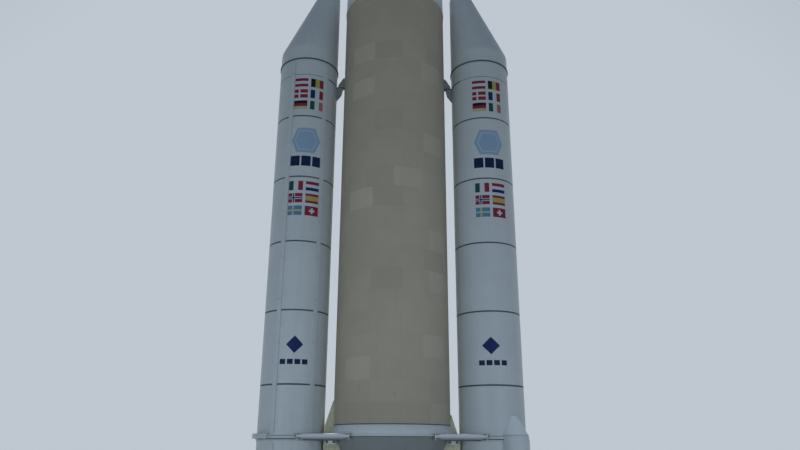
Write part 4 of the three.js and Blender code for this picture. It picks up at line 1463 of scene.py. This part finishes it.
def flag_block(parts, flags, left, top):
    for row, pair in enumerate(flags):
        for column, flag in enumerate(pair):
            x = left + column * (FLAG_WIDTH + COLUMN_GAP)
            z = top - row * (FLAG_HEIGHT + ROW_GAP) - FLAG_HEIGHT
            for x0, x1, z0, z1, colour, lift in flag:
                edges = (x + x0 * FLAG_WIDTH, x + x1 * FLAG_WIDTH)
                levels = [(z + share * FLAG_HEIGHT, *edges) for share in (z0, z1)]
                parts.add(sheet(levels, FOIL_LIFT + FOIL_LAYER * lift), FOIL_INDEX[colour])


def along_case(degrees):
    return math.radians(degrees) * BOOSTER_RADIUS


# %% [markdown]
# ## Plain blue marks
#
# Between the two blocks of flags each booster carries a light-blue hexagon over a bar of blocks.
# Lower down there is a small dark-blue diamond over another bar. They are plain shapes.

# %% Plain blue marks
def hexagon(middle, low, high, width, lift, share):
    centre = (low + high) / 2
    half_height = (high - low) / 2 * share
    half_width = width / 2 * share
    shoulder_width = half_width * 0.62
    return sheet([
        (centre - half_height, middle - shoulder_width, middle + shoulder_width),
        (centre, middle - half_width, middle + half_width),
        (centre + half_height, middle - shoulder_width, middle + shoulder_width),
    ], lift)


def diamond(middle, low, high, width):
    widest = ((low + high) / 2, middle - width / 2, middle + width / 2)
    return sheet([(low, middle, middle), widest, (high, middle, middle)])


def block_bar(parts, left, right, low, high, count, colour):
    gap = 0.08
    width = (right - left - gap * (count - 1)) / count
    for i in range(count):
        start = left + i * (width + gap)
        parts.add(sheet([(low, start, start + width), (high, start, start + width)]), FOIL_INDEX[colour])


# For each booster: left edges of the flag blocks, and (left, right) of each mark, in degrees.
FOIL_PLACES = {
    "left": {
        "flags": (-20, -20), "big": (-20, 35), "big_bar": (-20, 38.7),
        "small": (-8.4, 21), "small_bar": (-18, 30),
    },
    "right": {
        "flags": (-23, -23.5), "big": (-22.7, 34), "big_bar": (-24, 35),
        "small": (-20.8, 10.4), "small_bar": (-27, 22),
    },
}
UPPER_TOP, LOWER_TOP = 23.65, 17.90  # the upper edges of the flag blocks
HEXAGON_SPAN = (19.44, 20.80)
BIG_BAR_SPAN = (18.72, 19.26)
DIAMOND_SPAN = (9.48, 10.28)
SMALL_BAR_SPAN = (8.99, 9.22)
HEXAGONS = [("sky", 1.0), ("pale_blue", 0.80), ("sky", 0.70)]  # colour and size of each foil, upwards
for side, x in (("left", -BOOSTER_X), ("right", BOOSTER_X)):
    edges = {name: [along_case(angle) for angle in angles] for name, angles in FOIL_PLACES[side].items()}
    marks = Parts()
    flag_block(marks, UPPER_FLAGS, edges["flags"][0], UPPER_TOP)
    flag_block(marks, LOWER_FLAGS, edges["flags"][1], LOWER_TOP)
    left, right = edges["big"]
    for layer, (colour, share) in enumerate(HEXAGONS):
        lift = FOIL_LIFT + FOIL_LAYER * layer
        mark = hexagon((left + right) / 2, *HEXAGON_SPAN, right - left, lift, share)
        marks.add(mark, FOIL_INDEX[colour])
    block_bar(marks, *edges["big_bar"], *BIG_BAR_SPAN, 3, "navy")
    left, right = edges["small"]
    marks.add(diamond((left + right) / 2, *DIAMOND_SPAN, right - left), FOIL_INDEX["blue"])
    block_bar(marks, *edges["small_bar"], *SMALL_BAR_SPAN, 4, "navy")
    make(side + "_foils", marks, foils, place=Matrix.Translation((x, 0, 0)), closed=False)
print("foil sheets on both boosters")

# %% [markdown]
# ## The ground
#
# The rocket stands on a wide, plain, pale floor. It lies below the camera's view, but it throws light
# up onto the rocket, and it shows from other sides.

# %% The ground
FLOOR_REACH = 400.0
FLOOR_TONES = ((0.56, 0.56, 0.55, 1), (0.60, 0.60, 0.59, 1))
pale_floor, tree, shader = start_material("pale floor", "grey_paint", 0.9)
floor_tone = use(tree, clouding, Size=9.0)["Tone"]
floor_colour = mixed(tree, stepped(tree, floor_tone, -1.0, 1.0), *FLOOR_TONES)
tree.links.new(floor_colour, shader.inputs["Base Color"])
grained(tree, shader, 0.02, 0.2, 0.003)
floor_mesh = bpy.data.meshes.new("ground")
corners = [(x, y, 0) for x, y in ((-1, -1), (1, -1), (1, 1), (-1, 1))]
floor_mesh.from_pydata([FLOOR_REACH * Vector(corner) for corner in corners], [], [(0, 1, 2, 3)])
floor_mesh.materials.append(pale_floor)
ground = bpy.data.objects.new("ground", floor_mesh)
bpy.context.scene.collection.objects.link(ground)

# %% [markdown]
# ## Studio light
#
# The light is that of a plain studio. A pale backdrop behind the rocket is lit more than the rest of
# the room, so the rocket is seen mostly from its shaded side. One soft lamp high behind it, a little
# to the left, gives the cones their bright edge. Two wide soft boxes low in front make the lower
# parts lighter than the upper ones. Grids on the boxes keep their light off the floor.

# %% Studio light
BACKDROP = (0.52, 0.575, 0.63, 1)
ROOM = (0.094, 0.138, 0.185, 1)
BACK_BEARING = 172.0  # degrees from the front, towards the left
BACK_HEIGHT = 50.0
GRID_SPREAD = 105.0  # degrees over which a soft box shines through its grid
BOX_WIDTH, BOX_HEIGHT = 9, 3.4
BOX_COLOUR = (0.76, 0.89, 1.0)
studio = bpy.data.worlds.new("studio")
bpy.context.scene.world = studio
studio.use_nodes = True
tree = studio.node_tree
direction = node(tree, "ShaderNodeTexCoord").outputs["Generated"]
behind = node(tree, "ShaderNodeSeparateXYZ", {0: direction}).outputs["Y"]
background = tree.nodes["Background"]
tree.links.new(mixed(tree, stepped(tree, behind, 0.0, 0.75), ROOM, BACKDROP), background.inputs["Color"])
background.inputs["Strength"].default_value = 1.0


def sun(name, bearing, height, strength, spread, colour):
    lamp = bpy.data.lights.new(name, "SUN")
    lamp.energy = strength
    lamp.angle = math.radians(spread)
    lamp.color = colour
    holder = bpy.data.objects.new(name, lamp)
    bpy.context.scene.collection.objects.link(holder)
    turn, rise = math.radians(bearing), math.radians(height)
    flat = math.cos(rise)
    toward = Vector((-flat * math.sin(turn), -flat * math.cos(turn), math.sin(rise)))
    holder.rotation_euler = toward.to_track_quat("Z", "Y").to_euler()


sun("back light", BACK_BEARING, BACK_HEIGHT, 1.3, 9.0, (1.0, 0.97, 0.93))


def soft_box(name, centre, target, power):
    lamp = bpy.data.lights.new(name, "AREA")
    lamp.shape = "RECTANGLE"
    lamp.size, lamp.size_y = BOX_WIDTH, BOX_HEIGHT
    lamp.spread = math.radians(GRID_SPREAD)
    lamp.energy = power
    lamp.color = BOX_COLOUR
    holder = bpy.data.objects.new(name, lamp)
    bpy.context.scene.collection.objects.link(holder)
    holder.location = centre
    holder.rotation_euler = (Vector(centre) - Vector(target)).to_track_quat("Z", "Y").to_euler()
    holder.visible_camera = False


soft_box("low left light", (-8, -14, 2.6), (-1, 0, 5), 112)
soft_box("low right light", (8, -14, 2.6), (1, 0, 5), 102)

# %% [markdown]
# ## The camera
#
# The camera stands near the ground, 16 m in front of the model, and looks up at it. Its place,
# direction and lens were fitted to edges and joints measured in the photograph. It is turned by
# a matrix of its right, up and backward directions, which takes the slight roll as well.

# %% The camera
FOCAL_PIXELS = 670.17
SENSOR = 36.0
PICTURE_WIDTH = 800
distance, bearing, height = 16.159, math.radians(-0.427), 2.725
yaw, pitch, roll = math.radians(-1.024), math.radians(18.326), math.radians(0.220)
forward = Vector((-math.sin(yaw) * math.cos(pitch), math.cos(yaw) * math.cos(pitch), math.sin(pitch)))
level = Vector((math.cos(yaw), math.sin(yaw), 0))
upright = level.cross(forward)
right = level * math.cos(roll) + upright * math.sin(roll)
up = upright * math.cos(roll) - level * math.sin(roll)
lens = bpy.data.cameras.new("camera")
lens.sensor_width = SENSOR
lens.lens = FOCAL_PIXELS * SENSOR / PICTURE_WIDTH
lens.clip_end = 1000
camera = bpy.data.objects.new("camera", lens)
bpy.context.scene.collection.objects.link(camera)
turn = Matrix((right, up, -forward)).transposed().to_4x4()
spot = (distance * math.sin(bearing), -distance * math.cos(bearing), height)
camera.matrix_world = Matrix.Translation(spot) @ turn
bpy.context.scene.camera = camera
print("lens", round(lens.lens, 2), "mm")
bpy.context.scene.view_settings.view_transform = "Standard"
